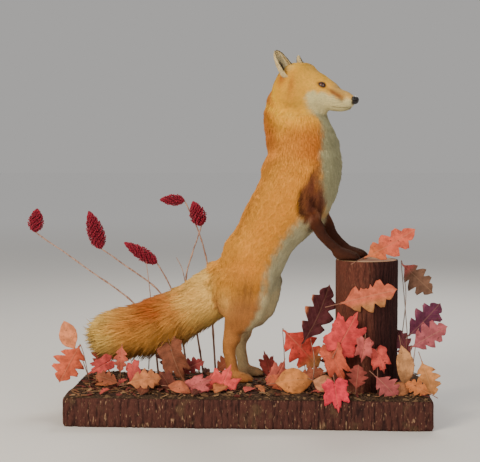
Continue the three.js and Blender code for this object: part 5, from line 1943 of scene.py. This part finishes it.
def makeLooseLeaves(material, dice):
    parts, tints = [], []

    def add(matrix, blade, tint):
        points, faces, place = blade
        parts.append((carry(matrix, points), faces, place))
        tints.append(np.tile(linear(*tint), (len(points), 1)))

    for at, size, aim, turn, lean, shape, tint, curl in looseLeaves:
        matrix, long, wide, curl, foot = leafPose(at, size, aim, turn, lean, curl)
        stalk = footRoute(foot, 8, (1.5, 2.5), (1.2, 1.5), (0.9, 1))
        add(matrix, leafArrays(long, wide, curl, shape, dice, stalk), tint)
    palette = groundLeaves["tints"]
    for _ in range(groundLeaves["tries"]):
        x, y = dice.uniform(-0.36, 0.36), dice.uniform(-0.132, 0.132)
        if stumpRoom(x, y) < 0.008 or (abs(x) < 0.09 and y > -0.03 and dice.random() < 0.6):
            continue
        long = dice.uniform(*groundLeaves["longs"])
        lean = dice.uniform(*groundLeaves["leans"])
        high = litterHeight(x, y) + 0.004 + long * 0.25 * math.cos(math.radians(lean))
        matrix = leafMatrix((x, y, high), dice.uniform(0, 360), dice.uniform(-60, 60), lean)
        shape = ("oak", "maple", "plain")[dice.integers(3)]
        wide, curl = long * dice.uniform(0.6, 0.85), long * dice.uniform(-0.1, 0.16)
        blade = leafArrays(long, wide, curl, shape, dice)
        add(matrix, blade, palette[dice.integers(len(palette))])
    addLeaf("leaf_scatter", parts, np.concatenate(tints), "leaf_tan", material)


# dried sumac: knobby stems and heads of small furry fruit

sumacPlan = [  # stem points in mm, head length and radius, way the head leans
    ([(-216, 137, 62), (-229, 137, 150), (-273, 137, 223), (-369, 134, 295), (-498, 131, 386)],
     (52, 17), (0.1, 0, 1)),
    ([(-190, 138, 62), (-191, 138, 190), (-216, 137, 253), (-299, 136, 315), (-346, 134, 349)],
     (88, 19), (-0.32, 0, 1)),
    ([(-150, 139, 62), (-164, 139, 170), (-183, 139, 250), (-218, 138, 316)], (86, 15), (-1, 0, 0.62)),
    ([(-112, 138, 62), (-134, 137, 200), (-151, 134, 281), (-114, 122, 403)], (56, 18), (-0.35, 0, 1)),
    ([(-84, 139, 62), (-95, 140, 240), (-104, 142, 318), (-123, 146, 388), (-156, 147, 460)],
     (54, 13), (-1, 0, 0.02)),
]
bareTwigs = [  # thin ones with no fruit, in mm
    [(-152, 130, 200), (-150, 128, 250), (-158, 126, 300), (-172, 124, 330)],
    [(-238, 134, 70), (-232, 134, 210), (-240, 133, 300), (-247, 132, 344)],
    [(320, 30, 66), (330, 26, 160), (338, 20, 250), (334, 14, 300)],
    [(136, -60, 66), (140, -62, 130), (132, -66, 176)],
    [(346, -30, 66), (352, -34, 140), (360, -40, 196)],
]
# fruitDark: the tint painted as shade on the deeper berries and on the core
sumacLook = {"fruit": (168, 38, 62), "fruitDark": (112, 24, 40), "stem": (196, 160, 140),
             "stemDark": (138, 100, 86), "grain": 0.0017, "slim": 0.90, "close": 2.1 / either(1),
             "berry": either(1), "turn": 2.39996}


def berryArrays():  # a ball of 20 triangles
    turn = np.radians(np.arange(5) * 72)
    ring, rise = 2 / math.sqrt(5), np.full(5, 1 / math.sqrt(5))
    upper = np.stack([ring * np.cos(turn), ring * np.sin(turn), rise], 1)
    turn = turn + math.radians(36)
    lower = np.stack([ring * np.cos(turn), ring * np.sin(turn), -rise], 1)
    faces = []
    for j in range(5):
        n = (j + 1) % 5
        faces += [(0, 1 + j, 1 + n), (1 + j, 6 + j, 1 + n), (6 + j, 6 + n, 1 + n), (11, 6 + n, 6 + j)]
    return np.concatenate([[(0, 0, 1)], upper, lower, [(0, 0, -1)]]).round(3), np.array(faces)


def fruitFinish():
    finish = Finish("sumac fruit")
    tint = finish.attribute("tint")
    fuzz = finish.noise(0.0009, detail=3)
    return finish.surface(baseColor=finish.blend(fuzz, 0.35, 0.65, tint * 0.6, tint * 1.25), roughness=0.9,
                          specular=0.1, normal=finish.bump(fuzz, 0.0006, 0.9), sheen=0.12)


def stemFinish():
    finish = Finish("twig")
    grain = finish.noise(0.004, detail=5, stretch=(1, 1, 0.3))
    tone = finish.blend(grain, 0.35, 0.65, linear(*sumacLook["stemDark"]), linear(*sumacLook["stem"]))
    return finish.surface(baseColor=tone, roughness=0.8, specular=0.25,
                          normal=finish.bump(grain, 0.0008, 0.6))


def headWidth(k):  # of a fruit head from its foot (0) to its tip (1), widest 1
    return np.sin(math.pi * k ** 0.75) ** 0.7


def fruitHead(foot, up, long, radius, dice):
    # points, faces and tints of one head: berries on a spiral round a core
    one = unit(np.cross(up, (0.3, 1, 0.1)))
    two = np.cross(up, one)
    grain = sumacLook["grain"]
    count = int(sumacLook["close"] * long * radius / grain ** 2)
    order = np.arange(count)
    k = (order + 0.5) / count
    turn = k * count * sumacLook["turn"]
    width = headWidth(k) * radius
    sway = 1 + 0.14 * np.sin(turn * 0.11) + 0.10 * np.sin(k * 19 + turn * 0.05)
    r = width * sway * np.where(order % 3 == 0, 0.72, 0.96)
    outward = one * np.cos(turn)[:, None] + two * np.sin(turn)[:, None]
    at = foot + up * (k * long)[:, None] + outward * r[:, None]
    size = grain * dice.uniform(0.75, 1.2, count) * sumacLook["berry"]
    ball, ballFaces = berryArrays()
    points = (at[:, None] + ball[None] * size[:, None, None] * (1, 1, 1.1)).reshape(-1, 3)
    faces = (ballFaces[None] + order[:, None, None] * len(ball)).reshape(-1, 3)
    core = tubeArrays(foot + up * (np.linspace(0.01, 0.97, 12) * long)[:, None],
                      headWidth(np.linspace(0.02, 0.97, 12)) * radius * 0.72, 10)
    bright, dark = linear(*sumacLook["fruit"]), linear(*sumacLook["fruitDark"])
    # painted shade: berries set deeper in the head, and the core between them, take the darker tint
    tone = over(bright, dark, 0.2 + 0.6 * ease(1.0, 0.75, r / np.maximum(width, 1e-6)))
    tone = tone * dice.uniform(0.8, 1.2, count)[:, None]
    tints = np.concatenate([tone.repeat(len(ball), 0), np.tile(dark, (len(core[0]), 1))])
    return *joinArrays([(points, faces), core]), tints


def makeSumac(dice):
    fruit, twig = fruitFinish(), stemFinish()
    for number, (route, size, lean) in enumerate(sumacPlan, 1):
        line = smoothRoute(np.array(route) / 1000, 60)
        t = np.linspace(0, 1, 60)
        knobs = sum(0.0007 * np.exp(-((t - k) / 0.012) ** 2) for k in np.arange(0.12, 0.98, 0.14))
        line = line + 0.0006 * np.stack([waves(line, 0.05, 61 + k) for k in range(3)], 1) * t[:, None]
        stem = buildMesh(f"twig_{number}", *tubeArrays(line, lerp(0.0024, 0.0013, t) + knobs, 9))
        addPiece(f"twig_{number}", stem, twig, [f"sumac_stem_{number}"])
        long, radius = size[0] / 1000, size[1] / 1000 * sumacLook["slim"]
        up = unit(np.array(lean, float))
        points, faces, tints = fruitHead(line[-1] + up * 0.001, up, long, radius, dice)
        mesh = buildMesh(f"fruit_{number}", points, faces)
        paint(mesh, "tint", tints)
        addPiece(f"fruit_{number}", mesh, fruit, [f"sumac_head_{number}"])
    thin = [tubeArrays(smoothRoute(np.array(route) / 1000, 24), np.linspace(0.0013, 0.0007, 24), 7)
            for route in bareTwigs]
    addPiece("thin_twigs", buildMesh("twigs", *joinArrays(thin)), twig)


def growEars():
    dice = np.random.default_rng(5)
    for side, name in ((-1, "right"), (1, "left")):
        print("ear", name, makeEar(side, name, dice), "tufts")


growEars()
makeEyes()
makeNose()
makeWhiskers(np.random.default_rng(7))
makeClaws()
print("ears, eyes, nose, whiskers and claws made")
makeBoard()
makeStump()
makeLitter(np.random.default_rng(8))
print("base made")
makeLooseLeaves(makeLeaves(), np.random.default_rng(9))
makeSumac(np.random.default_rng(10))
print("leaves and sumac made")
